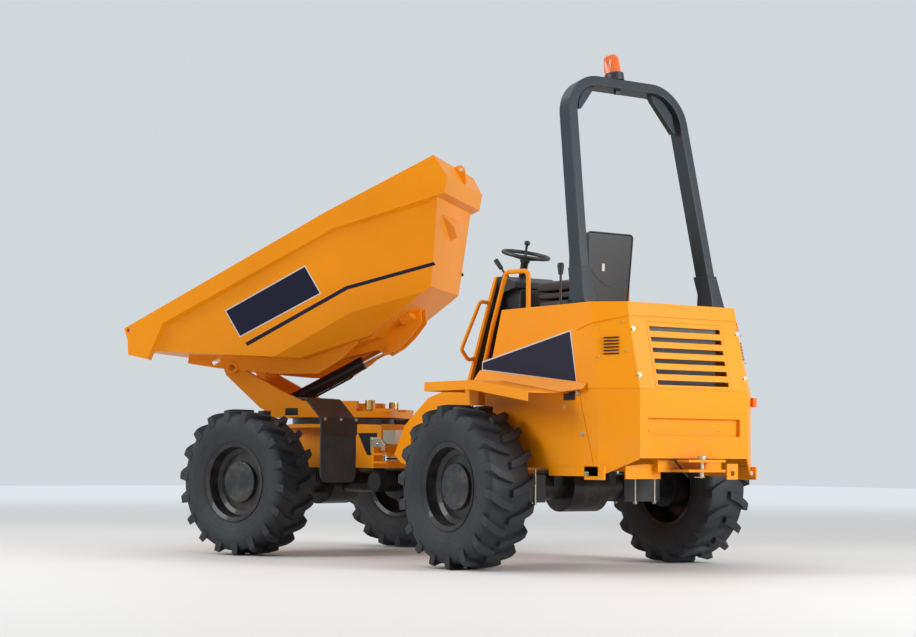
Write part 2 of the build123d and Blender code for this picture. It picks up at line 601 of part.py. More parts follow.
def skip_planes(inset):
    """The sloping plates of the skip: sides in two facets, back, ramp, floor and bevels."""
    inside = (-800, 0, 200)
    fold, fold_low = SKIP_FOLD, SKIP_FOLD_LOW
    ledge_front, ledge_rear, chine_rear = SKIP_LEDGE_FRONT, SKIP_LEDGE_REAR, SKIP_CHINE_REAR
    lip_x, lip_z = SKIP_LIP
    ff, fr = SKIP_FLOOR_FRONT, SKIP_FLOOR_REAR
    half = SKIP_FLOOR_HALF
    ramp = ((lip_x, -1, lip_z), (lip_x, 1, lip_z), (SKIP_CHINE_FRONT_X, 0, -148))
    floor = ((ff[0], -1, ff[1]), (ff[0], 1, ff[1]), (fr[0], 0, fr[1]))
    back = (ledge_rear, (ledge_rear[0], -ledge_rear[1], ledge_rear[2]), chine_rear)
    keel = ((fr[0], -1, fr[1]), (fr[0], 1, fr[1]), chine_rear)
    planes = [ramp, floor, back, keel]
    for side in (1, -1):
        def s(p):
            return (p[0], side * p[1], p[2])
        planes.append((s(fold), s(fold_low), s(ledge_front)))
        planes.append((s(fold), s(fold_low), s(ledge_rear)))
        planes.append((s(fold_low), s((ff[0], half, ff[1])), s((fr[0], half, fr[1]))))
    return [plane_through(*p, inside, inset) for p in planes]


def skip_body(inset, top, front):
    """Space inside the skip's plates, up to a height and forward to a line."""
    body = box((-2600, front), (-1100, 1100), (-600, top))
    for plane in skip_planes(inset):
        body = split(body, bisect_by=plane, keep=Keep.BOTTOM)
    return body


def rim_prism(out, low=-600):
    """Upright prism on the rim's plan, moved outwards."""
    plan = [(SKIP_LIP[0] + 1, SKIP_RIM_HALF[0] + out), (SKIP_FOLD[0] - 45, SKIP_RIM_HALF[1] + out),
            (SKIP_APEX_X - out, SKIP_RIM_HALF[2] + out / 2)]
    return slab_z(plan + [(x, -y) for x, y in reversed(plan)], low, 900)


def rim_bevels():
    """Planes that lean in from the band's outer face to the rim's edge."""
    z = SKIP_RIM_Z
    plan = [(SKIP_TIP_X, SKIP_RIM_HALF[0], z), (SKIP_FOLD[0] - 45, SKIP_RIM_HALF[1], z),
            (SKIP_APEX_X, SKIP_RIM_HALF[2], SKIP_RIM_REAR_Z)]
    inside = (-800, 0, 200)
    planes = []
    for side in (1, -1):
        for (ax, ay, az), (bx, by, bz) in zip(plan, plan[1:]):
            planes.append(plane_through((ax, side * ay, az), (bx, side * by, bz),
                                        (ax, side * (ay + BAND_OUT), az - BAND_BEVEL), inside, 0))
    return planes


def skip_tub():
    """Folded shell with a box band round its rim; the hollow keeps inside the band."""
    fold_x = SKIP_FOLD[0]
    # side profile of the rim band, wrapped down the front edge of the sides
    band = slab_y([
        (SKIP_TIP_X, SKIP_RIM_Z), (fold_x - 45, SKIP_RIM_Z), (SKIP_APEX_X, SKIP_RIM_REAR_Z),
        (SKIP_APEX_X - BAND_OUT, SKIP_RIM_REAR_Z - BAND_BEVEL), (SKIP_APEX_X - BAND_OUT, 390),
        (SKIP_APEX_X + 58, SKIP_LEDGE_REAR[2] - 4), (SKIP_LEDGE_REAR[0], SKIP_LEDGE_REAR[2]),
        (fold_x, SKIP_FOLD[2]), (SKIP_LEDGE_FRONT[0], SKIP_LEDGE_FRONT[2]), (90, 350),
        (338, 239), SKIP_LIP,
    ], -1100, 1100) & rim_prism(BAND_OUT)
    for plane in rim_bevels():
        band = split(band, bisect_by=plane, keep=Keep.BOTTOM)
    profile_cut = slab_y([
        (SKIP_TIP_X, SKIP_RIM_Z), (fold_x - 45, SKIP_RIM_Z), (SKIP_APEX_X, SKIP_RIM_REAR_Z), (SKIP_APEX_X, 900),
        (900, 900), (900, SKIP_LIP[1]), SKIP_LIP,
    ], -1200, 1200)
    shell = (skip_body(0, SKIP_RIM_REAR_Z, SKIP_LIP[0]) & rim_prism(0)) - profile_cut
    return shell + band - (skip_body(SKIP_PLATE, 900, 900) & rim_prism(-SKIP_PLATE))


def skip_underframe():
    """Rails outside the turntable's arms, the ram's bracket and the tipping pins."""
    ff, fr = SKIP_FLOOR_FRONT, SKIP_FLOOR_REAR
    lip_x, lip_z = SKIP_LIP
    slope = (lip_z + 148) / (lip_x - SKIP_CHINE_FRONT_X)

    def ramp_z(x):
        return lip_z + (x - lip_x) * slope
    rail = slab_y([(280, ramp_z(280)), (280, ramp_z(280) - 40), (-440, -306), (-620, -315), (-900, -330),
                   (-900, -300), (ff[0], ff[1]), (SKIP_CHINE_FRONT_X, ramp_z(SKIP_CHINE_FRONT_X))],
                  RAIL_INNER, RAIL_OUTER)
    rail += cross_bar(0, 0, RAIL_INNER, RAIL_OUTER, 80)
    pin = cross_bar(0, 0, ARM_INNER - 12, RAIL_OUTER + 10, TIP_PIN_RADIUS)
    bracket = slab_y([(-920, -320), (-975, -462), (-1100, -462), (-1300, -436), (-1377, -384), (-1400, -300)], *TIP_BRACKET)
    bracket += cross_bar(TIP_EYE[0], TIP_EYE[1], TIP_BRACKET[0], TIP_BRACKET[1] + 12, TIP_PIN_RADIUS)
    body = mirrored(rail + pin) + mirrored(bracket)
    return body - skip_body(0, 900, 900)


def lifting_eye():
    """Plate lug on the back of the rim, with its hole across the skip."""
    x, z = SKIP_APEX_X, SKIP_RIM_REAR_Z
    plate = slab_y([(x + 8, z), (x + 8, z + 20), (x + 14, z + 78), (x - 34, z + 78), (x - 52, z + 40),
                    (x - BAND_OUT - 8, z - BAND_BEVEL), (x - BAND_OUT, z - BAND_BEVEL), (x, z)],
                   -LIFT_PLATE / 2, LIFT_PLATE / 2)
    return plate - cross_bar(x + LIFT_HOLE[0], z + LIFT_HOLE[1], -LIFT_PLATE, LIFT_PLATE, LIFT_HOLE_RADIUS)


# ---- rams -------------------------------------------------------------------
def ram_frame(start, end, up):
    """Frame at the ram's fixed pin with +X along the ram; up is the pins' direction."""
    run = Vector(*end) - Vector(*start)
    return Plane(origin=start, x_dir=run, z_dir=up)


def ram_barrel(radius, length, bore, eye_radius, pin_radius, eye_half, neck):
    """Barrel along +X from its pin, bored for the rod; a narrow neck clears the ears."""
    body = bar((neck, 0, 0), (length, 0, 0), radius)
    body += bar((eye_radius - 8, 0, 0), (neck, 0, 0), eye_half - 1)
    body -= bar((120, 0, 0), (length - 30, 0, 0), radius - 10)
    body -= bar((120, 0, 0), (length + 1, 0, 0), bore + RUNNING_GAP)
    body += upright(0, 0, -eye_half, eye_half, eye_radius)
    return body - upright(0, 0, -eye_half - 1, eye_half + 1, pin_radius + RUNNING_GAP)


def ram_rod(span, length, radius, piston, eye_radius, eye_half):
    """Rod that ends in a closed eye between the far plates, with its piston inside the barrel."""
    body = bar((span - length, 0, 0), (span - eye_radius + 6, 0, 0), radius)
    body += bar((span - length, 0, 0), (span - length + 30, 0, 0), piston)
    return body + upright(span, 0, -eye_half, eye_half, eye_radius)


def steering_ram():
    start = Vector(-RAM_PIN_X, RAM_PIN_Y, RAM_Z)
    turn = radians(STEER_REST)
    end = Vector(RAM_PIN_X * cos(turn) - RAM_PIN_Y * sin(turn), RAM_PIN_X * sin(turn) + RAM_PIN_Y * cos(turn), RAM_Z)
    place = Plane(origin=start, x_dir=end - start, z_dir=(0, 0, 1))
    span = (end - start).length
    barrel = ram_barrel(STEER_BARREL_RADIUS, STEER_BARREL_LENGTH, STEER_ROD_RADIUS, 28, RAM_PIN_RADIUS, 20, 46)
    sliding = ram_rod(span, 582, STEER_ROD_RADIUS, STEER_BARREL_RADIUS - 10.5, 26, 20)
    return place * barrel, place * sliding


def tipping_ram():
    turn = radians(TIP_REST)
    eye_x = TIP_U + TIP_EYE[0] * cos(turn) + TIP_EYE[1] * sin(turn)
    eye_z = TIP_Z - TIP_EYE[0] * sin(turn) + TIP_EYE[1] * cos(turn)
    start, end = Vector(TIP_RAM_U, 0, TIP_RAM_Z), Vector(eye_x, 0, eye_z)
    place = Plane(origin=start, x_dir=end - start, z_dir=(0, -1, 0))
    span = (end - start).length
    barrel = ram_barrel(TIP_BARREL_RADIUS, TIP_BARREL_LENGTH, TIP_ROD_RADIUS, 45, TIP_PIN_RADIUS, TIP_EYE_HALF, 72)
    sliding = ram_rod(span, 480, TIP_ROD_RADIUS, TIP_BARREL_RADIUS - 10.5, ROD_EYE_RADIUS, TIP_BRACKET[0] - 1)
    return TURRET * (place * barrel), TURRET * (place * sliding)


# ---- the whole machine ------------------------------------------------------
def engine():
    return box((-2150, -1500), (-FRAME_HALF, FRAME_HALF), (RAIL_TOP_Z, 1350))


def radiator():
    return box((-2270, -2210), (-280, 280), (RAIL_TOP_Z, 1560))


def build_parts():
    beacon_base, beacon_lens = beacon()
    steer_barrel, steer_rod = steering_ram()
    tip_barrel, tip_rod = tipping_ram()
    pieces = {
        "rear_frame": rear_frame(),
        "rear_axle": axle(REAR_AXLE_X, REAR_AXLE_X + 420),
        "engine_block": engine(),
        "radiator": radiator(),
        "bonnet": bonnet(),
        "louvre_panel": louvre_panel(),
        "side_skirts": skirts(),
        "rear_cover": rear_cover(),
        "fender_left": fender(),
        "fender_right": mirror(fender(), Plane.XZ),
        "driver_deck": deck(),
        "leg_shield": leg_shield(),
        "dashboard": dash(),
        "steering_column": steering_column(),
        "steering_wheel": steering_wheel(),
        "seat_base": seat_base(),
        "seat": seat(),
        "rollover_hoop": hoop(),
        "hoop_feet": hoop_feet(),
        "beacon_base": beacon_base,
        "beacon_lens": beacon_lens,
        "grab_rails": grab_rails(),
        "hand_levers": levers(),
        "tow_hitch": tow_hitch(),
        "tow_pin": tow_pin(),
        "front_frame": FRONT * front_frame(),
        "front_axle": FRONT * axle(FRONT_AXLE_X, FRONT_AXLE_X - 420),
        "slew_ring": FRONT * slew_ring(),
        "mudguard_left": FRONT * mudguard(),
        "mudguard_right": FRONT * mirror(mudguard(), Plane.XZ),
        "mud_flap_left": FRONT * mud_flap(),
        "mud_flap_right": FRONT * mirror(mud_flap(), Plane.XZ),
        "valve_block": FRONT * valve_block(),
        "turntable": TURRET * turntable(),
        "rest_buffers": TURRET * rest_buffers(),
        "skip_tub": SKIP * skip_tub(),
        "skip_underframe": SKIP * skip_underframe(),
        "lifting_eye": SKIP * lifting_eye(),
        "steering_ram_barrel": steer_barrel,
        "steering_ram_rod": steer_rod,
        "tipping_ram_barrel": tip_barrel,
        "tipping_ram_rod": tip_rod,
    }
    one_tyre, one_rim = tyre(), rim()
    # name, frame, axle, side
    for name, frame, axle_x, side in (
            ("front_left", FRONT, FRONT_AXLE_X, 1), ("front_right", FRONT, FRONT_AXLE_X, -1),
            ("rear_left", Pos(0, 0, 0), REAR_AXLE_X, 1), ("rear_right", Pos(0, 0, 0), REAR_AXLE_X, -1)):
        place = frame * wheel_place(axle_x, side)
        pieces[f"tyre_{name}"] = place * one_tyre
        pieces[f"rim_{name}"] = place * one_rim
    return pieces


def overall_middle(pieces):
    """Ground point under the middle of the machine's overall box: the stored origin."""
    boxes = [piece.bounding_box() for piece in pieces.values()]
    x = [edge for b in boxes for edge in (b.min.X, b.max.X)]
    y = [edge for b in boxes for edge in (b.min.Y, b.max.Y)]
    return (min(x) + max(x)) / 2, (min(y) + max(y)) / 2


parts = build_parts()
middle = overall_middle(parts)
os.makedirs("parts", exist_ok=True)
for name, shape in parts.items():
    export_step(Pos(-middle[0], -middle[1], 0) * shape, f"parts/{name}.step")
print("origin from steering pivot", round(middle[0], 3), round(middle[1], 3))
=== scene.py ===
import json
import math

import bmesh
import bpy
from mathutils import Matrix, Vector


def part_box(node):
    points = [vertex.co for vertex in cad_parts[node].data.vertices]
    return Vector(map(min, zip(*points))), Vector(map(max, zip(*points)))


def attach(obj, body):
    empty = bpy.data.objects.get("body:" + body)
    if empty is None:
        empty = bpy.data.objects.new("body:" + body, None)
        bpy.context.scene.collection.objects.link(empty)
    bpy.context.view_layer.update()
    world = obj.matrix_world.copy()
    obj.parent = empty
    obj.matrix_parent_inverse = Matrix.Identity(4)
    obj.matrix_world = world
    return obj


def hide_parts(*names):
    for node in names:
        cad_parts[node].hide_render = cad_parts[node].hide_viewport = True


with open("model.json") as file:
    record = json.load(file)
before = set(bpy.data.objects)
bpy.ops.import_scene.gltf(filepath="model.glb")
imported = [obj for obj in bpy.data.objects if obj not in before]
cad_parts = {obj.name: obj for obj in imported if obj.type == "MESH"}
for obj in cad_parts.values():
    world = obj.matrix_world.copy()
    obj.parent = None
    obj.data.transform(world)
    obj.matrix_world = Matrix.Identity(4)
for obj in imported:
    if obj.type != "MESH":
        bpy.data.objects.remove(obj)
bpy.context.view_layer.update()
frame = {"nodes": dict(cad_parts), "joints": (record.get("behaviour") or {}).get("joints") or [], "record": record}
nodes = frame["nodes"]
joints = {joint["name"]: joint for joint in frame["joints"]}
print("frame loaded:", len(nodes), "solids")

# the machine's own frames, in metres: x forward, y to the driver's left, z up
steerPivot = Vector(joints["steering_pivot"]["pos_m"])
wheelAxis = Vector(joints["wheel_spin_front_left"]["axis"])
slewPivot = Vector(joints["skip_swivel"]["pos_m"])
tipPivot = Vector(joints["skip_tip"]["pos_m"])
tipAxis = Vector(joints["skip_tip"]["axis"])
rimTilt = math.radians(30)  # the parked skip's rim, nose down


def heading(axis):
    return math.atan2(-axis.x, axis.y)


def placeAt(point, turn):
    return Matrix.Translation(point) @ Matrix.Rotation(turn, 4, "Z")


rear = Matrix.Translation((steerPivot.x, steerPivot.y, 0))
front = placeAt((steerPivot.x, steerPivot.y, 0), heading(wheelAxis))
turret = placeAt((slewPivot.x, slewPivot.y, 0), heading(tipAxis))
skip = placeAt(tipPivot, heading(tipAxis)) @ Matrix.Rotation(rimTilt, 4, "Y")


class Sock:  # a shader socket that Python's operators add Math nodes to
    def __init__(self, shader, link):
        self.shader, self.link = shader, link

    def maths(self, operation, *values):
        return self.shader.node("Math", {"operation": operation}, *values)

    def __add__(self, other):
        return self.maths("ADD", self, other)

    def __sub__(self, other):
        return self.maths("SUBTRACT", self, other)

    def __mul__(self, other):
        return self.maths("MULTIPLY", self, other)

    def __rsub__(self, other):
        return self.maths("SUBTRACT", other, self)

    __radd__, __rmul__ = __add__, __mul__

    def clamped(self):
        return self.shader.node("Clamp", {}, self)


class Shader:  # one material and its node tree
    def __init__(self, name, colour, roughness, metallic=0.0, coat=0.0, specular=0.5):
        self.material = bpy.data.materials.new(name)
        self.material.use_nodes = True
        self.material.diffuse_color = (*colour, 1)
        self.nodes, self.links = self.material.node_tree.nodes, self.material.node_tree.links
        self.surface = self.nodes["Principled BSDF"]
        for socket, value in (("Base Color", (*colour, 1)), ("Roughness", roughness), ("Metallic", metallic),
                              ("Coat Weight", coat), ("Specular IOR Level", specular)):
            self.surface.inputs[socket].default_value = value

    def node(self, kind, settings, *values, out=0, **named):
        made = self.nodes.new("ShaderNode" + kind)
        for key, value in settings.items():
            setattr(made, key, value)
        for key, value in list(enumerate(values)) + list(named.items()):
            if isinstance(value, Sock):
                self.links.new(value.link, made.inputs[key])
            else:
                made.inputs[key].default_value = value
        return Sock(self, made.outputs[out])

    def place(self):
        return self.node("TexCoord", {}, out="Object")

    def noise(self, scale, detail=3.0, stretch=(1, 1, 1)):
        where = self.node("Mapping", {}, Vector=self.place(), Scale=stretch)
        return self.node("TexNoise", {}, Vector=where, Scale=scale, Detail=detail)

    def steps(self, value, *stops):
        made = self.node("ValToRGB", {}, value)
        elements = made.link.node.color_ramp.elements
        while len(elements) < len(stops):
            elements.new(0.5)
        for element, (at, grey) in zip(elements, stops):
            element.position, element.color = at, (grey, grey, grey, 1)
        return made

    def blend(self, mask, first, second):
        made = self.node("Mix", {"data_type": "RGBA"}, out=2)
        for key, value in ((0, mask), (6, first), (7, second)):
            if isinstance(value, Sock):
                self.links.new(value.link, made.link.node.inputs[key])
            else:
                made.link.node.inputs[key].default_value = value if key == 0 else (*value, 1)
        return made

    def feed(self, socket, value):
        self.links.new(value.link, self.surface.inputs[socket])

    def bump(self, height, strength, distance):
        self.feed("Normal", self.node("Bump", {}, Strength=strength, Distance=distance, Height=height))


def shade(colour, factor):
    return tuple(channel * factor for channel in colour)


def gradedPaint(name, colour, roughness, coat, peel, dust):
    # sprayed enamel: faint orange peel, slow drifts of tone and a little dust low down
    paint = Shader(name, colour, roughness, coat=coat, specular=0.22)
    drift = paint.steps(paint.noise(1.7, 4), (0.3, 0.0), (0.7, 1.0))
    tone = paint.blend(drift, shade(colour, 0.94), shade(colour, 1.03))
    height = paint.node("SeparateXYZ", {}, paint.place(), out="Z")
    low = paint.steps(height, (0.5, 1.0), (1.0, 0.0))
    patches = paint.steps(paint.noise(9, 6), (0.45, 0.0), (0.75, 1.0))
    grime = low * patches * dust
    paint.feed("Base Color", paint.blend(grime, tone, (0.30, 0.24, 0.17)))
    paint.feed("Roughness", (grime * 0.35 + paint.noise(3.1) * 0.06 + (roughness - 0.03)).clamped())
    paint.bump(paint.noise(260, 2), peel, 0.0004)
    return paint.material


def rubber(name, colour, roughness, grain):
    skin = Shader(name, colour, roughness, specular=0.35)
    mottled = skin.steps(skin.noise(5, 6), (0.35, 0.0), (0.7, 1.0))
    skin.feed("Base Color", skin.blend(mottled, shade(colour, 0.8), shade(colour, 1.25)))
    skin.feed("Roughness", (skin.noise(14, 5) * 0.22 + (roughness - 0.11)).clamped())
    skin.bump(skin.noise(grain, 5), 0.25, 0.0015)
    return skin.material


def metal(name, colour, roughness, brushed):
    face = Shader(name, colour, roughness, metallic=1.0)
    streaks = face.noise(60, 4, brushed)
    face.feed("Roughness", (streaks * 0.24 + (roughness - 0.12)).clamped())
    face.bump(streaks, 0.12, 0.0005)
    return face.material


def plastic(name, colour, roughness, grain):
    face = Shader(name, colour, roughness)
    face.feed("Roughness", (face.noise(22, 4) * 0.14 + (roughness - 0.07)).clamped())
    face.bump(face.noise(grain, 3), 0.3, 0.0006)
    return face.material


enamels = {  # colour, roughness, coat, orange peel, dust
    "orangePaint": ((0.87, 0.295, 0.002), 0.42, 0.03, 0.05, 0.22),
    "blackPaint": ((0.014, 0.015, 0.017), 0.38, 0.2, 0.05, 0.15),
    "hoopGrey": ((0.022, 0.031, 0.039), 0.42, 0.1, 0.06, 0.0),
    "paleLine": ((0.62, 0.62, 0.60), 0.35, 0.2, 0.02, 0.0),
    "navyLabel": ((0.006, 0.007, 0.028), 0.5, 0.03, 0.02, 0.0),
    "hubGrey": ((0.026, 0.030, 0.034), 0.42, 0.1, 0.05, 0.3),
}
rubbers = {  # colour, roughness, grain
    "tyreRubber": ((0.022, 0.026, 0.031), 0.62, 90),
    "flapRubber": ((0.030, 0.031, 0.033), 0.7, 140),
}
metals = {  # colour, roughness, stretch of the brushing
    "goldPlate": ((0.62, 0.44, 0.16), 0.3, (1, 1, 6)),
    "zincPlate": ((0.62, 0.58, 0.46), 0.34, (1, 1, 8)),
    "chromeRod": ((0.80, 0.80, 0.81), 0.12, (2, 2, 2)),
    "castIron": ((0.10, 0.10, 0.105), 0.6, (1, 1, 1)),
    "coreGrey": ((0.25, 0.25, 0.25), 0.5, (1, 40, 1)),
}
plastics = {  # colour, roughness, grain
    "blackPlastic": ((0.016, 0.017, 0.019), 0.45, 380),
    "seatVinyl": ((0.017, 0.017, 0.019), 0.42, 520),
}
paints = {"amberLens": Shader("amberLens", (0.80, 0.14, 0.008), 0.12, coat=0.6).material}
for makeFinish, table in ((gradedPaint, enamels), (rubber, rubbers), (metal, metals), (plastic, plastics)):
    for name, row in table.items():
        paints[name] = makeFinish(name, *row)
slotPaint = {"orange_paint": "orangePaint", "black_paint": "blackPaint", "hoop_grey": "hoopGrey",
             "cast_engine": "castIron",
             "core_grey": "coreGrey", "black_plastic": "blackPlastic", "seat_vinyl": "seatVinyl",
             "amber": "amberLens",
             "zinc": "zincPlate", "chrome_rod": "chromeRod", "flap_rubber": "flapRubber", "tyre": "tyreRubber"}
nodeSlot = {entry["node"]: entry["material_slot"] for entry in frame["record"]["subparts"]}
for name, node in nodes.items():
    node.data.materials.clear()
    node.data.materials.append(paints[slotPaint[nodeSlot[name]]])
print("materials made:", len(paints))

# pieces are built in millimetres in one of the machine's frames, then put in place
millimetres = Matrix.Scale(0.001, 4)
bodyFrame = {"rear_chassis": rear, "front_chassis": front, "turntable": turret, "skip": skip}
sideSigns = (("Left", 1), ("Right", -1))
bodyOf = {node: body for body, names in frame["record"]["behaviour"]["bodies"].items() for node in names}


def addPiece(name, bm, paint, body, smoothUnder=32, stands=()):
    bmesh.ops.recalc_face_normals(bm, faces=bm.faces)
    for face in bm.faces:
        face.smooth = True
    mesh = bpy.data.meshes.new(name)
    bm.to_mesh(mesh)
    bm.free()
    mesh.set_sharp_from_angle(angle=math.radians(smoothUnder))
    piece = bpy.data.objects.new(name, mesh)
    bpy.context.collection.objects.link(piece)
    mesh.materials.append(paints[paint])
    piece.modifiers.new("evenNormals", "WEIGHTED_NORMAL").keep_sharp = True
    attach(piece, body)
    if stands:
        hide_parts(*stands)
    return piece


def finishPiece(name, bm, paint, body="rear_chassis", smoothUnder=32, stands=(), place=None):
    place = bodyFrame[body] if place is None else place
    bmesh.ops.transform(bm, matrix=place @ millimetres, verts=bm.verts)
    return addPiece(name, bm, paint, body, smoothUnder, stands)


def softenEdges(bm, width, over=24, segments=2):
    sharp = [edge for edge in bm.edges if len(edge.link_faces) == 2
             and edge.calc_face_angle(0) > math.radians(over)]
    bmesh.ops.bevel(bm, geom=sharp, offset=width, segments=segments, profile=0.5, affect="EDGES",
                    clamp_overlap=True, material=-1)


def softNode(name, width=0.002, over=24):
    # a solid's own mesh, in metres, with its sharp edges rounded
    bm = bmesh.new()
    bm.from_mesh(nodes[name].data)
    bmesh.ops.remove_doubles(bm, verts=bm.verts, dist=0.00005)
    bmesh.ops.dissolve_limit(bm, angle_limit=math.radians(1), verts=bm.verts, edges=bm.edges)
    softenEdges(bm, width, over)
    return addPiece(name + "Finished", bm, slotPaint[nodeSlot[name]], bodyOf[name], stands=(name,))


# shapes, in millimetres
def slab(points, low, high, across="y"):
    # a flat outline pushed through from low to high, across x, y or z
    orders = {"x": lambda u, v, w: (w, u, v), "y": lambda u, v, w: (u, w, v),
              "z": lambda u, v, w: (u, v, w)}
    order = orders[across]
    bm = bmesh.new()
    corners = [bm.verts.new(order(u, v, low)) for u, v in points]
    face = bm.faces.new(corners)
    pushed = bmesh.ops.extrude_face_region(bm, geom=[face], use_keep_orig=True)["geom"]
    farSide = [part for part in pushed if isinstance(part, bmesh.types.BMVert)]
    bmesh.ops.translate(bm, verts=farSide, vec=Vector(order(0, 0, high - low)))
    bmesh.ops.recalc_face_normals(bm, faces=bm.faces)
    return bm


def block(x, y, z):
    return slab([(x[0], z[0]), (x[1], z[0]), (x[1], z[1]), (x[0], z[1])], *y)


def turnedBar(start, end, radius, sides=32, endRadius=None):
    start, end = Vector(start), Vector(end)
    bm = bmesh.new()
    spin = (end - start).to_track_quat("Z", "Y").to_matrix().to_4x4()
    bmesh.ops.create_cone(bm, cap_ends=True, segments=sides, radius1=radius,
                          radius2=radius if endRadius is None else endRadius, depth=(end - start).length,
                          matrix=Matrix.Translation((start + end) / 2) @ spin)
    return bm


def turnedRing(outline, sides=64, closed=True):
    # outline of (radius, along) turned about the y axis
    bm = bmesh.new()
    points = [bm.verts.new((0, along, radius)) for radius, along in outline]
    pairs = list(zip(points, points[1:] + points[:1])) if closed else list(zip(points, points[1:]))
    edges = [bm.edges.new(pair) for pair in pairs]
    bmesh.ops.spin(bm, geom=points + edges, cent=(0, 0, 0), axis=(0, 1, 0), dvec=(0, 0, 0), angle=math.tau,
                   steps=sides, use_merge=True, use_duplicate=False)
    bmesh.ops.remove_doubles(bm, verts=bm.verts, dist=0.01)
    return bm


def gather(*parts):
    # several shapes as one mesh, each closed by itself
    whole = bmesh.new()
    for part in parts:
        carrier = bpy.data.meshes.new("carrier")
        part.to_mesh(carrier)
        part.free()
        whole.from_mesh(carrier)
        bpy.data.meshes.remove(carrier)
    return whole


def moved(bm, matrix):
    bmesh.ops.transform(bm, matrix=matrix, verts=bm.verts)
    return bm


def bothSides(make):
    other = make()
    bmesh.ops.scale(other, vec=(1, -1, 1), verts=other.verts)
    bmesh.ops.reverse_faces(other, faces=other.faces)
    return gather(make(), other)


def bentRod(points, radius, sides=12, bend=0.0):
    # a round bar through the points, its corners rounded with a bend radius
    route = [Vector(points[0])]
    for before, corner, after in zip(points, points[1:], points[2:]):
        before, corner, after = Vector(before), Vector(corner), Vector(after)
        run = min(bend, (before - corner).length * 0.49, (after - corner).length * 0.49)
        first = corner + (before - corner).normalized() * run
        last = corner + (after - corner).normalized() * run
        for share in (0.0, 0.25, 0.5, 0.75, 1.0):
            route.append(first * (1 - share) ** 2 + corner * 2 * share * (1 - share) + last * share ** 2)
    route.append(Vector(points[-1]))
    rings = []
    lean = (route[1] - route[0]).orthogonal().normalized()
    for k, point in enumerate(route):
        ahead = (route[min(k + 1, len(route) - 1)] - route[max(k - 1, 0)]).normalized()
        lean = (lean - ahead * lean.dot(ahead)).normalized()
        side = ahead.cross(lean)
        rings.append([point + (lean * math.cos(t) + side * math.sin(t)) * radius
                      for t in (math.tau * i / sides for i in range(sides))])
    return loft(rings)


def loft(rings):
    # a closed skin through rings of corners, capped at both ends
    bm = bmesh.new()
    rows = [[bm.verts.new(corner) for corner in ring] for ring in rings]
    for row, following in zip(rows, rows[1:]):
        for i in range(len(row)):
            j = (i + 1) % len(row)
            bm.faces.new((row[i], row[j], following[j], following[i]))
    bm.faces.new(rows[0][::-1])
    bm.faces.new(rows[-1])
    bmesh.ops.recalc_face_normals(bm, faces=bm.faces)
    return bm


def booleanOf(first, second, operation):
    made = []
    for bm in (first, second):
        mesh = bpy.data.meshes.new("cutting")
        bmesh.ops.recalc_face_normals(bm, faces=bm.faces)
        bm.to_mesh(mesh)
        bm.free()
        thing = bpy.data.objects.new("cutting", mesh)
        bpy.context.collection.objects.link(thing)
        made.append(thing)
    cut = made[0].modifiers.new("cut", "BOOLEAN")
    cut.operation, cut.object, cut.solver = operation, made[1], "EXACT"
    bpy.context.view_layer.update()
    result = bpy.data.meshes.new_from_object(made[0].evaluated_get(bpy.context.evaluated_depsgraph_get()))
    bm = bmesh.new()
    bm.from_mesh(result)
    for thing in made:
        mesh = thing.data
        bpy.data.objects.remove(thing)
        bpy.data.meshes.remove(mesh)
    bpy.data.meshes.remove(result)
    bmesh.ops.remove_doubles(bm, verts=bm.verts, dist=0.02)
    bmesh.ops.dissolve_limit(bm, angle_limit=math.radians(0.6), verts=bm.verts, edges=bm.edges)
    return bm


def cutFrom(bm, *cutters):
    for cutter in cutters:
        bm = booleanOf(bm, cutter, "DIFFERENCE")
    return bm


def hexBolt(point, out, across, standOff=0.0):
    # washer and hexagon head, seated on a face that looks along out
    out = Vector(out).normalized()
    point = Vector(point) + out * standOff
    washer = turnedBar(point - out * 1.5, point + out * across * 0.12, across * 0.68, 24)
    head = turnedBar(point, point + out * across * 0.62, across * 0.56, 6)
    softenEdges(head, across * 0.06)
    return gather(washer, head)


# the skip is cut from a block by the planes of its plates
def planeOf(a, b, c, inside, inset=0.0):
    a, b, c = Vector(a), Vector(b), Vector(c)
    normal = (b - a).cross(c - a).normalized()
    if normal.dot(Vector(inside) - a) > 0:
        normal.negate()
    return a - normal * inset, normal


def other(point):
    return (point[0], -point[1], point[2])


def carve(bm, planes, keep="inner"):
    for point, normal in planes:
        geom = bm.verts[:] + bm.edges[:] + bm.faces[:]
        bmesh.ops.bisect_plane(bm, geom=geom, dist=0.001, plane_co=point, plane_no=normal,
                               clear_outer=keep == "inner", clear_inner=keep == "outer")
        edges = [edge for edge in bm.edges if edge.is_boundary]
        if edges:
            bmesh.ops.holes_fill(bm, edges=edges, sides=0)
    return bm


skipShape = {  # corners in the skip's own frame: x forward, y to the left, z up from the rim's tilt
    "plate": 8.0, "inside": (-800, 0, 200),
    "fold": (-1240, 740, 380), "foldLow": (-1043, 593, -159),
    "ledgeFront": (110, 892, 421), "ledgeRear": (-1978, 492, 255),
    "chineFront": (-398, 661, -155), "chineRear": (-1602, 416, -261),
    "lip": (452, 382), "floorFront": (-534, -241), "floorRear": (-1034, 420, -335),
    "bandFront": (130, 944, 416), "bandFold": (-1249, 770, 392), "bandRear": (-2043, 525, 246),
    "crease": (-2120, 0, 342), "rimFront": (298, 995, 523), "rimFold": (-1293, 799, 514),
    "rimRear": (-2117, 592, 508), "wrap": ((388, 518), (412, 438), (467, 349), (368, 257)),
    "wrapFoot": (368, 920, 257), "wrapHole": (368, 493), "wrapHoleRadius": 14, "bandDepth": 28, "edge": 3.0,
    "least": 8e7,
}


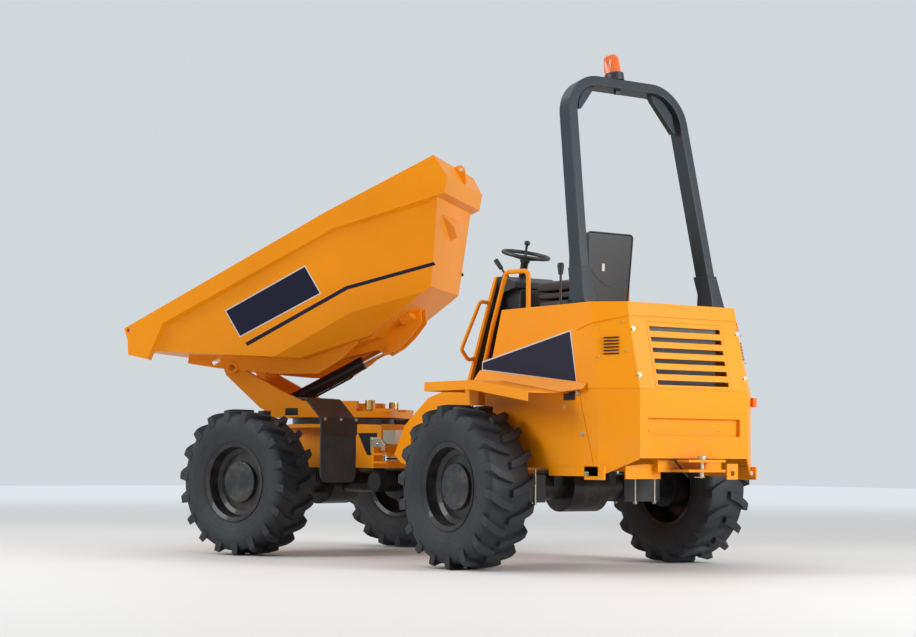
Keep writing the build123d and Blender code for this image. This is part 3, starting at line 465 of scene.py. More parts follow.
def wallPlanes(inset):
    s = skipShape
    planes = [planeOf(s["ledgeRear"], other(s["ledgeRear"]), s["chineRear"], s["inside"], inset)]
    for flip in (tuple, other):
        for corner in ("ledgeFront", "ledgeRear"):
            planes.append(planeOf(flip(s["fold"]), flip(s["foldLow"]), flip(s[corner]), s["inside"], inset))
    return planes


def bottomPlanes(inset):
    s = skipShape
    (lipX, lipZ), (floorX, floorZ) = s["lip"], s["floorFront"]
    rearX, rearZ = s["floorRear"][0], s["floorRear"][2]
    corners = [((lipX, -1, lipZ), (lipX, 1, lipZ), s["chineFront"]),
               ((floorX, -1, floorZ), (floorX, 1, floorZ), s["floorRear"]),
               ((rearX, -1, rearZ), (rearX, 1, rearZ), s["chineRear"])]
    for flip in (tuple, other):
        for corner in ("chineFront", "chineRear"):
            corners.append((flip(s["foldLow"]), flip(s["floorRear"]), flip(s[corner])))
    return [planeOf(*three, s["inside"], inset) for three in corners]


def skipBlock():
    return block((-2600, 900), (-1200, 1200), (-700, 900))


def skipSpace(inset):
    return carve(skipBlock(), wallPlanes(inset) + bottomPlanes(inset))


def bandHull():
    s = skipShape
    planes = [planeOf(s["bandRear"], other(s["bandRear"]), s["crease"], s["inside"]),
              planeOf(s["rimRear"], other(s["rimRear"]), s["crease"], s["inside"])]
    for flip in (tuple, other):
        for a, b, c in (("bandFront", "bandFold", "rimFront"), ("bandFront", "rimFront", "wrapFoot"),
                        ("bandFold", "rimFold", "bandRear")):
            planes.append(planeOf(flip(s[a]), flip(s[b]), flip(s[c]), s["inside"]))
    footX, rearX, rearZ = s["wrap"][3][0], s["rimRear"][0], s["rimRear"][2]
    profile = [*s["wrap"], (footX, -700), (-2400, -700), (-2400, rearZ), (rearX, rearZ),
               (s["rimFold"][0], s["rimFold"][2])]
    return booleanOf(carve(skipBlock(), planes), slab(profile, -1200, 1200), "INTERSECT")


def belowBand(flip):
    s = skipShape
    high = (-800, 0, 3000)
    planes = [planeOf(flip(s["bandFront"]), flip(s["bandFold"]), flip(s["fold"]), high),
              planeOf(flip(s["bandFold"]), flip(s["bandRear"]), flip(s["fold"]), high),
              planeOf(flip(s["bandFront"]), flip(s["wrapFoot"]), flip(s["ledgeFront"]), (2000, 0, 0))]
    width = (-1, 1250) if flip is tuple else (-1250, 1)
    return carve(block((-2650, 950), width, (-750, 950)), planes, keep="outer")


def belowBack():
    s = skipShape
    under = planeOf(s["bandRear"], other(s["bandRear"]), s["ledgeRear"], (-800, 0, 3000))
    return carve(block((-2650, s["ledgeRear"][0] + 60), (-1250, 1250), (-750, 950)), [under], keep="outer")


def skipForm():
    s = skipShape
    band = block((-2590, 890), (-1190, 1190), (-690, 890))
    band = cutFrom(band, belowBand(tuple), belowBand(other), belowBack(),
                   carve(skipBlock(), wallPlanes(s["plate"] / 2)))
    tub = booleanOf(booleanOf(skipSpace(0), band, "UNION"), bandHull(), "INTERSECT")
    holeX, holeZ = s["wrapHole"]
    hollow = carve(skipSpace(s["plate"]), [((s["crease"][0] + s["bandDepth"], 0, 0), Vector((-1, 0, 0)))])
    eye = turnedBar((holeX, -1195, holeZ), (holeX, 1195, holeZ), s["wrapHoleRadius"])
    return cutFrom(tub, hollow, eye)


def makeSkip():
    # the cutting is tried again when it leaves an open or an emptied form
    for attempt in range(8):
        tub = skipForm()
        if tub.calc_volume() > skipShape["least"] and all(edge.is_manifold for edge in tub.edges):
            break
    print("skip cut in", attempt + 1)
    softenEdges(tub, skipShape["edge"], over=12)
    finishPiece("skipTub", tub, "orangePaint", "skip", stands=("skip_tub",))


underframe = {
    "rail": ((235, 265), (287, 203), (87, 43), (-295, -226), (-560, -378), (-760, -372), (-930, -335),
             (-930, -288), (-398, -115)),
    "railFaces": (385, 397), "slot": (86, 102, 70, 30), "boss": 45, "pin": (298, 403, 25),
    "bracket": ((-668, -255), (-668, -300), (-952, -389), (-1000, -462), (-1113, -462), (-1222, -436),
                (-1350, -385), (-1390, -290)),
    "bracketFaces": (60, 76), "eye": (-1040, -416), "eyePin": 25,
    "flange": ((-1330, -1240), (70, 230), (-345, -300)),
    "pad": ((-1026, -930), (262, 350), 14), "edge": 1.5,
}


def makeUnderframe():
    u = underframe
    low, high = u["railFaces"]
    slotX, slotZ, length, width = u["slot"]
    eyeX, eyeZ = u["eye"]

    def oneSide():
        rail = slab(u["rail"], low, high)
        rail = cutFrom(rail, block((slotX - length / 2, slotX + length / 2), (low - 5, high + 5),
                                   (slotZ - width / 2, slotZ + width / 2)))
        softenEdges(rail, u["edge"])
        boss = turnedBar((0, low - 6, 0), (0, high + 6, 0), u["boss"], 40)
        softenEdges(boss, u["edge"])
        pin = turnedBar((0, u["pin"][0], 0), (0, u["pin"][1], 0), u["pin"][2])
        bracket = slab(u["bracket"], *u["bracketFaces"])
        softenEdges(bracket, u["edge"])
        eye = turnedBar((eyeX, u["bracketFaces"][0], eyeZ), (eyeX, u["bracketFaces"][1] + 12, eyeZ),
                        u["eyePin"])
        flange = block(*u["flange"])
        softenEdges(flange, u["edge"])
        (padRear, padFront), padAcross, thick = u["pad"]
        (floorX, floorZ), (rearX, _, rearZ) = skipShape["floorFront"], skipShape["floorRear"]
        fall = (floorZ - rearZ) / (floorX - rearX)
        rearAt, frontAt = (floorZ + (x - floorX) * fall for x in (padRear, padFront))
        pad = slab([(padRear, rearAt - thick), (padFront, frontAt - thick), (padFront, frontAt + 1),
                    (padRear, rearAt + 1)], *padAcross)
        softenEdges(pad, u["edge"])
        return gather(rail, boss, pin, bracket, eye, flange, pad)
    finishPiece("skipUnderframe", bothSides(oneSide), "orangePaint", "skip", stands=("skip_underframe",))


liftingEye = {"outline": ((-2110, 496), (-2140, 502), (-2170, 488), (-2181, 460), (-2172, 430), (-2134, 352),
                          (-2119, 352)),
              "hole": (-2150, 462), "radius": 12.5, "half": 7.5}


def makeLiftingEye():
    e = liftingEye
    plate = slab(e["outline"], -e["half"], e["half"])
    x, z = e["hole"]
    plate = cutFrom(plate, turnedBar((x, -20, z), (x, 20, z), e["radius"]))
    softenEdges(plate, 1.5)
    finishPiece("liftingEye", plate, "orangePaint", "skip", stands=("lifting_eye",))


# blank labels and the stripe on the skip's sides, as panel corners of x and z
labels = {
    "panel": ((-286, 280), (-933, 270), (-922, 64), (-274, 85)), "border": 8, "lift": 0.8,
    "stripe": (((-277, 26), (-1106, 14), (-1107, -12), (-277, 0)),
               ((-1106, 14), (-1710, -121), (-1712, -147), (-1107, -12))),
}


def stuckOn(name, corners, plane, lift, paint, body="rear_chassis"):
    # a thin plate laid on a plane, its corners given as x and z
    point, normal = plane

    def onIt(x, z):
        y = point.y - (normal.x * (x - point.x) + normal.z * (z - point.z)) / normal.y
        return Vector((x, y, z))
    rings = [[onIt(x, z) + normal * rise for x, z in corners] for rise in (-0.5, lift)]
    return finishPiece(name, loft(rings), paint, body)


def grown(corners, by):
    middle = [sum(values) / len(corners) for values in zip(*corners)]
    grownOut = []
    for x, z in corners:
        grownOut.append((x + math.copysign(by, x - middle[0]), z + math.copysign(by, z - middle[1])))
    return grownOut


def makeLabels():
    s = skipShape
    for side, flip in (("Left", tuple), ("Right", other)):
        frontWall = planeOf(flip(s["fold"]), flip(s["foldLow"]), flip(s["ledgeFront"]), s["inside"])
        rearWall = planeOf(flip(s["fold"]), flip(s["foldLow"]), flip(s["ledgeRear"]), s["inside"])
        stuckOn("labelBorder" + side, grown(labels["panel"], labels["border"]), frontWall, labels["lift"],
                "paleLine", "skip")
        stuckOn("label" + side, labels["panel"], frontWall, labels["lift"] * 2, "navyLabel", "skip")
        for part, (corners, wall) in enumerate(zip(labels["stripe"], (frontWall, rearWall))):
            stuckOn(f"stripe{side}{part}", corners, wall, labels["lift"], "navyLabel", "skip")


# casing as (radius, half width) and one lug as (across, left edge, right edge)
tyreShape = {
    "lugs": 18, "rootRadius": 428, "tipRadius": 514, "shoulderDrop": 5, "draft": 5,
    "casing": ((262, 127), (268, 131), (279, 133), (283, 131), (292, 139), (312, 148), (318, 147.4), (324, 151),
               (352, 161), (358, 160), (364, 164), (398, 170), (430, 168), (456, 158), (474, 146), (482, 130),
               (484, 60)),
    "bar": ((-8, -62, -8), (34, -52, 6), (72, -40, 22), (106, -25, 40), (140, -4, 60), (171.5, 18, 78)),
    "edge": 3,
}


def treadBar(side):
    t = tyreShape
    bm = bmesh.new()
    root, tip = [], []
    last = len(t["bar"]) - 1
    for k, (across, left, right) in enumerate(t["bar"]):
        pull = {0: t["draft"], last: -3}.get(k, 0)
        y = across + pull * 0.9
        top = t["tipRadius"] - (t["shoulderDrop"] if k == last else 0)
        root.append([bm.verts.new((x, side * across, t["rootRadius"])) for x in (left, right)])
        tip.append([bm.verts.new((x, side * y, math.sqrt(top ** 2 - x ** 2)))
                    for x in (left + t["draft"], right - t["draft"])])
    for k in range(last):
        (a, b), (c, d) = tip[k], tip[k + 1]
        (e, f), (g, h) = root[k], root[k + 1]
        bm.faces.new((a, b, d, c))
        bm.faces.new((e, g, h, f))
        bm.faces.new((a, c, g, e))
        bm.faces.new((b, f, h, d))
    for k in (0, last):
        bm.faces.new((tip[k][0], root[k][0], root[k][1], tip[k][1]))
    bmesh.ops.recalc_face_normals(bm, faces=bm.faces)
    low = t["rootRadius"] + 1
    upper = [edge for edge in bm.edges if max(v.co.z for v in edge.verts) > low
             and edge.calc_face_angle(0) > math.radians(40)]
    bmesh.ops.bevel(bm, geom=upper, offset=t["edge"], segments=2, profile=0.5, affect="EDGES",
                    clamp_overlap=True,
                    material=-1)
    return bm


def makeTyre(end, side):
    t = tyreShape
    half = list(t["casing"])
    casing = turnedRing(half + [(radius, -along) for radius, along in reversed(half)], 108)
    parts = [casing]
    for way, phase in ((1, 0.0), (-1, 0.5)):
        for k in range(t["lugs"]):
            turn = Matrix.Rotation(math.tau * (k + phase) / t["lugs"], 4, "Y")
            parts.append(moved(treadBar(way), turn))
    name = f"{end}_{side}"
    joint = joints["wheel_spin_" + name]
    place = placeAt(Vector(joint["pos_m"]), heading(Vector(joint["axis"])) + (0 if side == "left" else math.pi))
    finishPiece(f"tyre{end.title()}{side.title()}", gather(*parts), "tyreRubber", "wheel_" + name, 40,
                ("tyre_" + name,), place)
    softNode("rim_" + name)
    w = hubCover
    cover = turnedRing([(radius, w["face"] + along) for radius, along in w["profile"]], 64)
    nuts = []
    for k in range(w["count"]):
        turn = math.tau * (k + 0.5) / w["count"]
        nuts.append(hexBolt((w["circle"] * math.cos(turn), w["face"] + 3, w["circle"] * math.sin(turn)),
                            (0, 1, 0), w["across"]))
    finishPiece(f"hubCover{end.title()}{side.title()}", gather(cover, *nuts), "hubGrey", "wheel_" + name,
                place=place)


hubCover = {"count": 6, "circle": 126, "face": 79, "across": 9,
            "profile": ((0.01, 7), (130, 5), (143, 1), (146, -4), (146, -14), (0.01, -14))}

for end in ("front", "rear"):
    for side in ("left", "right"):
        makeTyre(end, side)
print("wheels made")
makeSkip()
makeUnderframe()
makeLiftingEye()
makeLabels()
print("skip made")

softWidths = {"bonnet": 0.004, "rear_frame": 0.003, "turntable": 0.003, "front_frame": 0.003,
              "rollover_hoop": 0.006,
              "front_axle": 0.004, "rear_axle": 0.004}
plainNodes = ["rear_frame", "rear_axle", "engine_block", "radiator", "bonnet", "louvre_panel",
              "fender_left", "fender_right", "driver_deck", "leg_shield", "dashboard", "steering_column",
              "rollover_hoop", "beacon_base", "grab_rails", "tow_hitch", "tow_pin", "front_frame", "front_axle",
              "slew_ring", "valve_block", "turntable",
              "steering_ram_barrel", "steering_ram_rod", "tipping_ram_barrel", "tipping_ram_rod"]
for name in plainNodes:
    softNode(name, softWidths.get(name, 0.002))
print("bodywork softened")


# the engine cowl's walls, which its panels, bolts and vents lie on
bodyShape = {"half": 627, "topHalf": 596, "seam": 1117, "top": 1648, "rear": -2390, "rearTop": -2266,
             "faceHalf": 440,
             "chamfer": 165, "front": -1085}


def bodyPlane(name, side=1):
    b = bodyShape
    rear, top, seam, low = b["rear"], b["rearTop"], b["seam"], 700
    face, half = side * b["faceHalf"], side * b["half"]
    corner, alongSide = (rear + b["chamfer"], half, seam), (-1500, half, seam)
    points = {
        "side": (corner, alongSide, (-1500, side * b["topHalf"], b["top"])),
        "sideLow": (corner, alongSide, (-1500, half, low)),
        "chamfer": (corner, (rear, face, seam), (top, face, b["top"])),
        "back": ((rear, -b["faceHalf"], seam), (rear, b["faceHalf"], seam), (top, 0, b["top"])),
    }[name]
    return planeOf(*points, (-1600, 0, 1200))


def dropTo(plane, point):
    at, normal = plane
    point = Vector(point)
    return point - normal * normal.dot(point - at)


bodyPanel = {"corners": ((-1046, 1314), (-1928, 1474), (-2012, 1166), (-1046, 1271)), "border": 9,
             "door": ((-1450, 1092), (-2048, 1092), (-2186, 655), (-1450, 655)), "doorLift": 4}


def makePanels():
    for side, sign in sideSigns:
        wall = bodyPlane("side", sign)
        stuckOn("panelBorder" + side, grown(bodyPanel["corners"], bodyPanel["border"]), wall, 1.0, "paleLine")
        stuckOn("panel" + side, bodyPanel["corners"], wall, 1.9, "navyLabel")
        stuckOn("door" + side, bodyPanel["door"], bodyPlane("sideLow", sign), bodyPanel["doorLift"],
                "orangePaint")


ledgeStrip = {"sections": ((-1028, 1266, 690, 1186), (-1364, 1230, 700, 1186), (-1949, 1172, 700, 1102),
                           (-2120, 1152, 664, 1118)),
              "inner": 628}


def makeLedges():
    def oneSide():
        inner = ledgeStrip["inner"]
        return loft([((x, inner, top), (x, foot, low), (x, inner, low)) for x, top, foot,
                     low in ledgeStrip["sections"]])
    finishPiece("sideLedges", bothSides(oneSide), "orangePaint", smoothUnder=20)


fasteners = {
    "side": ((-2044, 1094), (-2083, 846), (-2127, 606)), "sideSize": 24,
    "chamfer": ((-2166, 596, 1486), (-2269, 470, 1521), (-2202, 602, 1310), (-2308, 472, 1344)),
    "chamferSize": 9,
    "back": ((425, 1491), (432, 1195)), "backSize": 20,
}


def makeFasteners():
    def oneSide():
        parts = []
        for x, z in fasteners["side"]:
            plane = bodyPlane("sideLow")
            parts.append(hexBolt(dropTo(plane, (x, 627, z)), plane[1], fasteners["sideSize"], 2))
        for point in fasteners["chamfer"]:
            plane = bodyPlane("chamfer")
            parts.append(hexBolt(dropTo(plane, point), plane[1], fasteners["chamferSize"]))
        for y, z in fasteners["back"]:
            plane = bodyPlane("back")
            parts.append(hexBolt(dropTo(plane, (-2350, y, z)), plane[1], fasteners["backSize"]))
        return gather(*parts)
    finishPiece("bodyBolts", bothSides(oneSide), "zincPlate")


sideVent = {"rows": 6, "low": 1331, "high": 1432, "start": (-2278, 510), "end": (-2206, 570), "slope": -6,
            "parts": (("slot", -4, 4, 0.6), ("hood", 4, 9, 5))}


def makeVents():
    # short hooded slots pressed in the bonnet's rear corners; each slot is a black sheet of painted shade under
    # its hood
    for side, sign in sideSigns:
        plane = bodyPlane("chamfer", sign)
        start, end = (Vector((x, sign * y, 0)) for x, y in (sideVent["start"], sideVent["end"]))
        slotShade, hoods = [], []
        for row in range(sideVent["rows"]):
            z = sideVent["low"] + (sideVent["high"] - sideVent["low"]) * row / (sideVent["rows"] - 1)
            a, b = (dropTo(plane, point + Vector((0, 0, z + rise))) for point,
                    rise in ((start, 0), (end, sideVent["slope"])))
            along = (b - a).normalized()
            up = plane[1].cross(along).normalized()
            up = up if up.z > 0 else -up
            for kind, low, high, lift in sideVent["parts"]:
                corners = [a + up * low, b + up * low, b + up * high, a + up * high]
                base = [corner - plane[1] * 0.5 for corner in corners]
                top = [corner + plane[1] * (lift if kind == "slot" or k < 2 else 0.5) for k,
                       corner in enumerate(corners)]
                (slotShade if kind == "slot" else hoods).append(loft([base, top]))
        # the black slot sheets are painted shade for the dark inside of the louvres
        finishPiece("ventSlots" + side, gather(*slotShade), "blackPaint")
        finishPiece("ventHoods" + side, gather(*hoods), "orangePaint")


bonnetLid = {"lip": 1563, "fall": 0.28, "front": -1990, "proud": 6, "plate": 3}


def makeLid():
    # the lid's turned-down lip, a few millimetres proud of the bonnet round its rear
    b, d = bodyShape, bonnetLid

    def ring(z, grow):
        share = (z - b["seam"]) / (b["top"] - b["seam"])
        rearX = b["rear"] + share * (b["rearTop"] - b["rear"])
        half = b["half"] + share * (b["topHalf"] - b["half"]) + grow
        return rearX - grow, half
    bm = bmesh.new()
    rows = []
    for outside in (1, 0):
        grow = d["proud"] if outside else 0.4
        for z in ("low", b["top"]):
            row = []
            for x, sign in ((d["front"], 1), (None, 1), ("face", 1), ("face", -1), (None, -1),
                            (d["front"], -1)):
                rearZ = d["lip"] if z == "low" else z
                rearX, half = ring(rearZ, grow)
                if x == "face":
                    row.append((rearX, sign * b["faceHalf"], rearZ))
                elif x is None:
                    cornerX = rearX + b["chamfer"]
                    cornerZ = rearZ - (d["fall"] * b["chamfer"] if z == "low" else 0)
                    row.append((ring(cornerZ, grow)[0] + b["chamfer"], sign * ring(cornerZ, grow)[1], cornerZ))
                else:
                    cornerZ = rearZ - (d["fall"] * (x - rearX) if z == "low" else 0)
                    row.append((x, sign * ring(cornerZ, grow)[1], cornerZ))
            rows.append([bm.verts.new(point) for point in row])
    outLow, outTop, inLow, inTop = rows
    for k in range(5):
        bm.faces.new((outLow[k], outLow[k + 1], outTop[k + 1], outTop[k]))
        bm.faces.new((inLow[k], inTop[k], inTop[k + 1], inLow[k + 1]))
        bm.faces.new((outLow[k], inLow[k], inLow[k + 1], outLow[k + 1]))
        bm.faces.new((outTop[k], outTop[k + 1], inTop[k + 1], inTop[k]))
    for k in (0, 5):
        bm.faces.new((outLow[k], outTop[k], inTop[k], inLow[k]))
    bmesh.ops.recalc_face_normals(bm, faces=bm.faces)
    softenEdges(bm, 1.5, 30)
    finishPiece("bonnetLid", bm, "orangePaint")


rearCover = {"low": 702, "recess": (838, 945, 375), "deep": 24, "sheet": 8, "holes": (-221, 352), "holeZ": 868,
             "holeRadius": 4}


def makeRearCover():
    c, b = rearCover, bodyShape
    low, high, half = c["recess"]
    face, floor = b["rear"], b["rear"] + c["deep"]
    plate = block((face, face + c["sheet"]), (-b["faceHalf"], b["faceHalf"]), (c["low"], b["seam"]))
    tray = block((face + 1, floor + c["sheet"]), (-half - 8, half + 8), (low - 8, high + 8))
    cover = cutFrom(booleanOf(plate, tray, "UNION"), block((face - 20, floor), (-half, half), (low, high)))
    for y in c["holes"]:
        cover = cutFrom(cover,
                        turnedBar((floor - 20, y, c["holeZ"]), (floor + 30, y, c["holeZ"]), c["holeRadius"],
                                  20))
    softenEdges(cover, 1.5, 40)
    finishPiece("rearCover", cover, "orangePaint", stands=("rear_cover",))


skirtShape = {"low": 592, "overAxle": 640, "overAxleTo": -1750, "cornerX": -2225, "sheet": 8}


def makeSkirts():
    k, b = skirtShape, bodyShape

    def plan(inset, front):
        rearX, half, faceHalf = b["rear"] + inset, b["half"] - inset, b["faceHalf"] - inset * 0.4
        corner = b["rear"] + b["chamfer"] + inset * 0.4
        return [(rearX, -faceHalf), (corner, -half), (front, -half), (front, half), (corner, half),
                (rearX, faceHalf)]
    shell = slab(plan(0, b["front"]), k["low"], b["seam"], "z")
    shell = cutFrom(shell, slab(plan(k["sheet"], b["front"] + 60), k["low"] - 5, b["seam"] + 5, "z"),
                    block((b["rear"] - 9, b["rear"] + 8), (-b["faceHalf"], b["faceHalf"]),
                          (k["low"] - 5, b["seam"] + 5)),
                    block((k["overAxleTo"], b["front"] + 70), (-700, 700), (k["low"] - 5, k["overAxle"])),
                    slab([(k["cornerX"], k["low"] - 5), (k["cornerX"], k["low"]),
                          (b["rear"] - 20, rearCover["low"] + 12),
                          (b["rear"] - 20, k["low"] - 5)], -700, 700))
    softenEdges(shell, 2, 30)
    finishPiece("sideSkirts", shell, "orangePaint", stands=("side_skirts",))


makePanels()
makeLedges()
makeFasteners()
makeVents()
makeLid()
makeRearCover()
makeSkirts()
print("body details made")

guards = {"flap": ((548, 560), (549, 918)), "flapZ": (520, 972), "strip": (546, 850, 972),
          "stripBolts": (563, 723, 890),
          "carrier": ((561, 572), (262, 918), (930, 972)),
          "sheet": ((560, 972), (700, 1105), (780, 1112), (780, 1104), (704, 1096), (566, 966)),
          "sheetAcross": (549, 918), "round": 60, "boltDrop": 14, "boltSize": 16}


def signedRange(sign, pair):
    return tuple(sorted(sign * value for value in pair))


def makeGuards():
    g = guards
    (rearX, frontX), (inner, outer) = g["flap"]
    low, high = g["flapZ"]
    for side, sign in (("left", 1), ("right", -1)):
        r = g["round"]
        outline = [(inner, high), (inner, low + r)]
        outline += [(inner + r - r * math.cos(t), low + r - r * math.sin(t))
                    for t in (0.4, 0.8, 1.2, math.pi / 2)]
        outline += [(outer - r + r * math.sin(t), low + r - r * math.cos(t)) for t in (0, 0.4, 0.8, 1.2)]
        outline += [(outer, low + r), (outer, high)]
        flap = slab([(sign * y, z) for y, z in outline], rearX, frontX, "x")
        softenEdges(flap, 2, 40)
        finishPiece("flap" + side.title(), flap, "flapRubber", "front_chassis", stands=("mud_flap_" + side,))
        stripX, stripLow, stripHigh = g["strip"]
        strip = block((stripX - 4, stripX + 2), signedRange(sign, (inner - 4, outer + 4)),
                      (stripLow, stripHigh))
        softenEdges(strip, 1, 40)
        boltZ = stripHigh - g["boltDrop"]
        bolts = [hexBolt((stripX - 4, sign * y, boltZ), (-1, 0, 0), g["boltSize"]) for y in g["stripBolts"]]
        carrierX, carrierY, carrierZ = g["carrier"]
        carrier = block(carrierX, signedRange(sign, carrierY), carrierZ)
        softenEdges(carrier, 1.5, 40)
        sheet = slab(g["sheet"], *signedRange(sign, g["sheetAcross"]))
        softenEdges(sheet, 1.5, 60)
        finishPiece("guard" + side.title(), gather(strip, carrier, sheet), "blackPaint", "front_chassis",
                    stands=("mudguard_" + side,))
        finishPiece("guardBolts" + side.title(), gather(*bolts), "zincPlate", "front_chassis")


makeGuards()
print("guards made")

hoopFeet = {"plate": ((-2052, -1868), (472, 590), (1648, 1660)),
            "sleeve": (((-2040, -1884), (478, 584), 1660), ((-2012, -1882), (486, 574), 1760),
                       ((-1984, -1846), (482, 560), 1877)),
            "bolts": ((-2030, 584), (-1890, 584), (-2030, 478), (-1890, 478))}


def makeHoopFeet():
    def oneSide():
        plate = block(*hoopFeet["plate"])
        softenEdges(plate, 2)
        sleeve = loft([((rearX, inner, z), (frontX, inner, z), (frontX, outer, z), (rearX, outer, z))
                       for (rearX, frontX), (inner, outer), z in hoopFeet["sleeve"]])
        softenEdges(sleeve, 5, 30)
        bolts = [hexBolt((x, y, 1660), (0, 0, 1), 22) for x, y in hoopFeet["bolts"]]
        return gather(plate, sleeve, *bolts)
    finishPiece("hoopFeet", bothSides(oneSide), "hoopGrey", stands=("hoop_feet",))


beaconShape = {"foot": 57, "top": 43, "ribs": 36, "tall": 1.14}


def makeBeacon():
    # ribbed amber lens that narrows a little to its domed top
    low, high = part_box("beacon_lens")
    middle = (low + high) / 2
    middle.z = low.z
    b = beaconShape
    profile = [(0.01, 1), (b["foot"], 1), (b["foot"], 10), (b["foot"] - 4, 13), (b["foot"] - 5, 40),
               (b["top"] + 6, 82), (b["top"] + 2, 108),
               (b["top"] - 6, 119), (b["top"] - 20, 124), (0.01, 126)]
    lens = turnedRing(profile, b["ribs"] * 4)
    bmesh.ops.scale(lens, vec=(1, b["tall"], 1), verts=lens.verts)
    for vert in lens.verts:
        radius = math.hypot(vert.co.x, vert.co.z)
        if 18 < vert.co.y < 126 and radius > 20:
            ripple = 1 + 0.022 * math.cos(math.atan2(vert.co.x, vert.co.z) * b["ribs"])
            vert.co.x, vert.co.z = vert.co.x * ripple, vert.co.z * ripple
    lean = Matrix.Rotation(math.atan(0.187), 4, "Y") @ Matrix.Rotation(math.radians(90), 4, "X")
    finishPiece("beaconLens", lens, "amberLens", "rear_chassis", 40, ("beacon_lens",),
                Matrix.Translation(middle) @ lean)


makeHoopFeet()
makeBeacon()
print("hoop and beacon made")


seatShape = {"backHalf": (172, 189), "backZ": (1700, 2152), "backX": (-1565, -1500), "shear": 0.076,
             "corner": 24,
             "wing": ((-1502, 1862), (-1502, 2108), (-1440, 2096), (-1398, 2050), (-1392, 1900), (-1420, 1862)),
             "wingY": (163, 190),
             "leanFrom": 1745, "round": 15, "piping": 5, "stitch": 2.6,
             "pads": (((-1500, -1052), 203, (1788, 1857), 10), ((-1494, -1060), 196, (1738, 1784), 3),
                      ((-1494, -1064), 192, (1664, 1734), 3)),
             "seam": ((150, 1905), (96, 1858), (40, 1822), (0, 1808), (-40, 1822), (-96, 1858), (-150, 1905)),
             "tag": ((40, 62), (1905, 1965))}


def padBlock(x, half, z, crown):
    # a stuffed block: soft edges, sides that pull in between the corners and a crowned top
    bm = block(x, (-half, half), z)
    bmesh.ops.subdivide_edges(bm, edges=bm.edges[:], cuts=9, use_grid_fill=True)
    middleX, halfX = (x[0] + x[1]) / 2, (x[1] - x[0]) / 2
    middleZ, halfZ = (z[0] + z[1]) / 2, (z[1] - z[0]) / 2
    for vert in bm.verts:
        u, v, w = (vert.co.x - middleX) / halfX, vert.co.y / half, (vert.co.z - middleZ) / halfZ
        fill = (1 - u ** 4) * (1 - v ** 4)
        cornered = 1 - 0.035 * (u * u * v * v + v * v * w * w + u * u * w * w) / 1.5
        vert.co.x = middleX + halfX * u * cornered * (1 - 0.012 * (1 - v * v))
        vert.co.y = half * v * cornered * (1 - 0.015 * (1 - u * u))
        vert.co.z = middleZ + halfZ * w * (1 - 0.16 * max(abs(u), abs(v)) ** 6) + crown * fill * max(w, 0)
    return bm


def makeSeat():
    k = seatShape
    low, high = k["backZ"]
    lowHalf, topHalf = k["backHalf"]
    r = k["corner"]
    side = [(lowHalf, low)] + [(topHalf - r + r * math.cos(t), high - r + r * math.sin(t))
                               for t in (0, 0.4, 0.8, 1.2, math.pi / 2)]
    farSide = [(-y, z) for y, z in reversed(side)]
    rearX = k["backX"][0]
    back = slab(side + farSide, *k["backX"], "x")
    softenEdges(back, k["round"], 40, 4)
    edgeLine = side[:1] + [(topHalf - 2, high - r)] + side[2:] + farSide
    piping = bentRod([(rearX + k["piping"], y, z) for y, z in edgeLine], k["piping"])
    seam = bentRod([(rearX + 0.5, y, z) for y, z in k["seam"]], k["stitch"], 8, 20)
    for part in (back, piping, seam):
        for vert in part.verts:
            vert.co.x -= (vert.co.z - k["leanFrom"]) * k["shear"]
    wings = bothSides(lambda: slab(k["wing"], *k["wingY"]))
    softenEdges(wings, 9, 30, 3)
    shell = finishPiece("seatBack", gather(back, piping, seam, wings), "seatVinyl", smoothUnder=45,
                        stands=("seat", "seat_base"))
    for number, (x, half, z, crown) in enumerate(k["pads"]):
        pad = finishPiece(f"seatPad{number}", padBlock(x, half, z, crown), "seatVinyl", smoothUnder=60)
        smooth = pad.modifiers.new("smooth", "SUBSURF")
        smooth.levels = smooth.render_levels = 1
    (tagLow, tagHigh), tagZ = k["tag"]
    x = rearX - (sum(tagZ) / 2 - k["leanFrom"]) * k["shear"]
    tag = block((x - 1.4, x + 3), (tagLow, tagHigh), tagZ)
    finishPiece("seatTag", tag, "paleLine")


wheelShape = {"ring": 156, "grip": 13.5, "hub": 34, "drop": 34, "spoke": 9, "knob": 21, "far": -35}


def makeSteeringWheel():
    # local y is the column, local z points over the wheel's far side, where the knob stands at rest
    k = wheelShape
    joint = joints["steering_wheel_turn"]
    axis = Vector(joint["axis"])
    axis = axis if axis.z > 0 else -axis
    far = Vector((math.cos(math.radians(k["far"])), math.sin(math.radians(k["far"])), 0))
    far = (far - axis * far.dot(axis)).normalized()
    turnTo = Matrix((axis.cross(far), axis, far)).transposed().to_4x4()
    sides = 16
    grip = turnedRing([(k["ring"] + k["grip"] * math.cos(math.tau * i / sides),
                        k["grip"] * math.sin(math.tau * i / sides))
                       for i in range(sides)], 96)
    hub = turnedRing([(0.01, -k["drop"] + 14), (22, -k["drop"] + 14), (k["hub"], -k["drop"] + 6),
                      (k["hub"], -k["drop"] - 14),
                      (26, -k["drop"] - 24), (0.01, -k["drop"] - 24)], 40)
    parts = [grip, hub]
    for turn in (0, 120, 240):
        spoke = bentRod([(0, -k["drop"], 20), (0, -k["drop"] + 6, 70), (0, -4, 132), (0, 0, k["ring"])],
                        k["spoke"], 12, 30)
        bmesh.ops.scale(spoke, vec=(1.35, 0.8, 1), verts=spoke.verts)
        parts.append(moved(spoke, Matrix.Rotation(math.radians(turn), 4, "Y")))
    knob = turnedRing([(0.01, 84), (12, 83), (k["knob"] - 2, 76), (k["knob"], 64), (k["knob"] - 5, 54), (9, 50),
                       (8, 8), (0.01, 8)], 32)
    parts.append(moved(knob, Matrix.Translation((0, 0, k["ring"] - 4))))
    place = Matrix.Translation(Vector(joint["pos_m"])) @ turnTo
    finishPiece("steeringWheel", gather(*parts), "blackPlastic", "steering_wheel", 40, ("steering_wheel",),
                place)


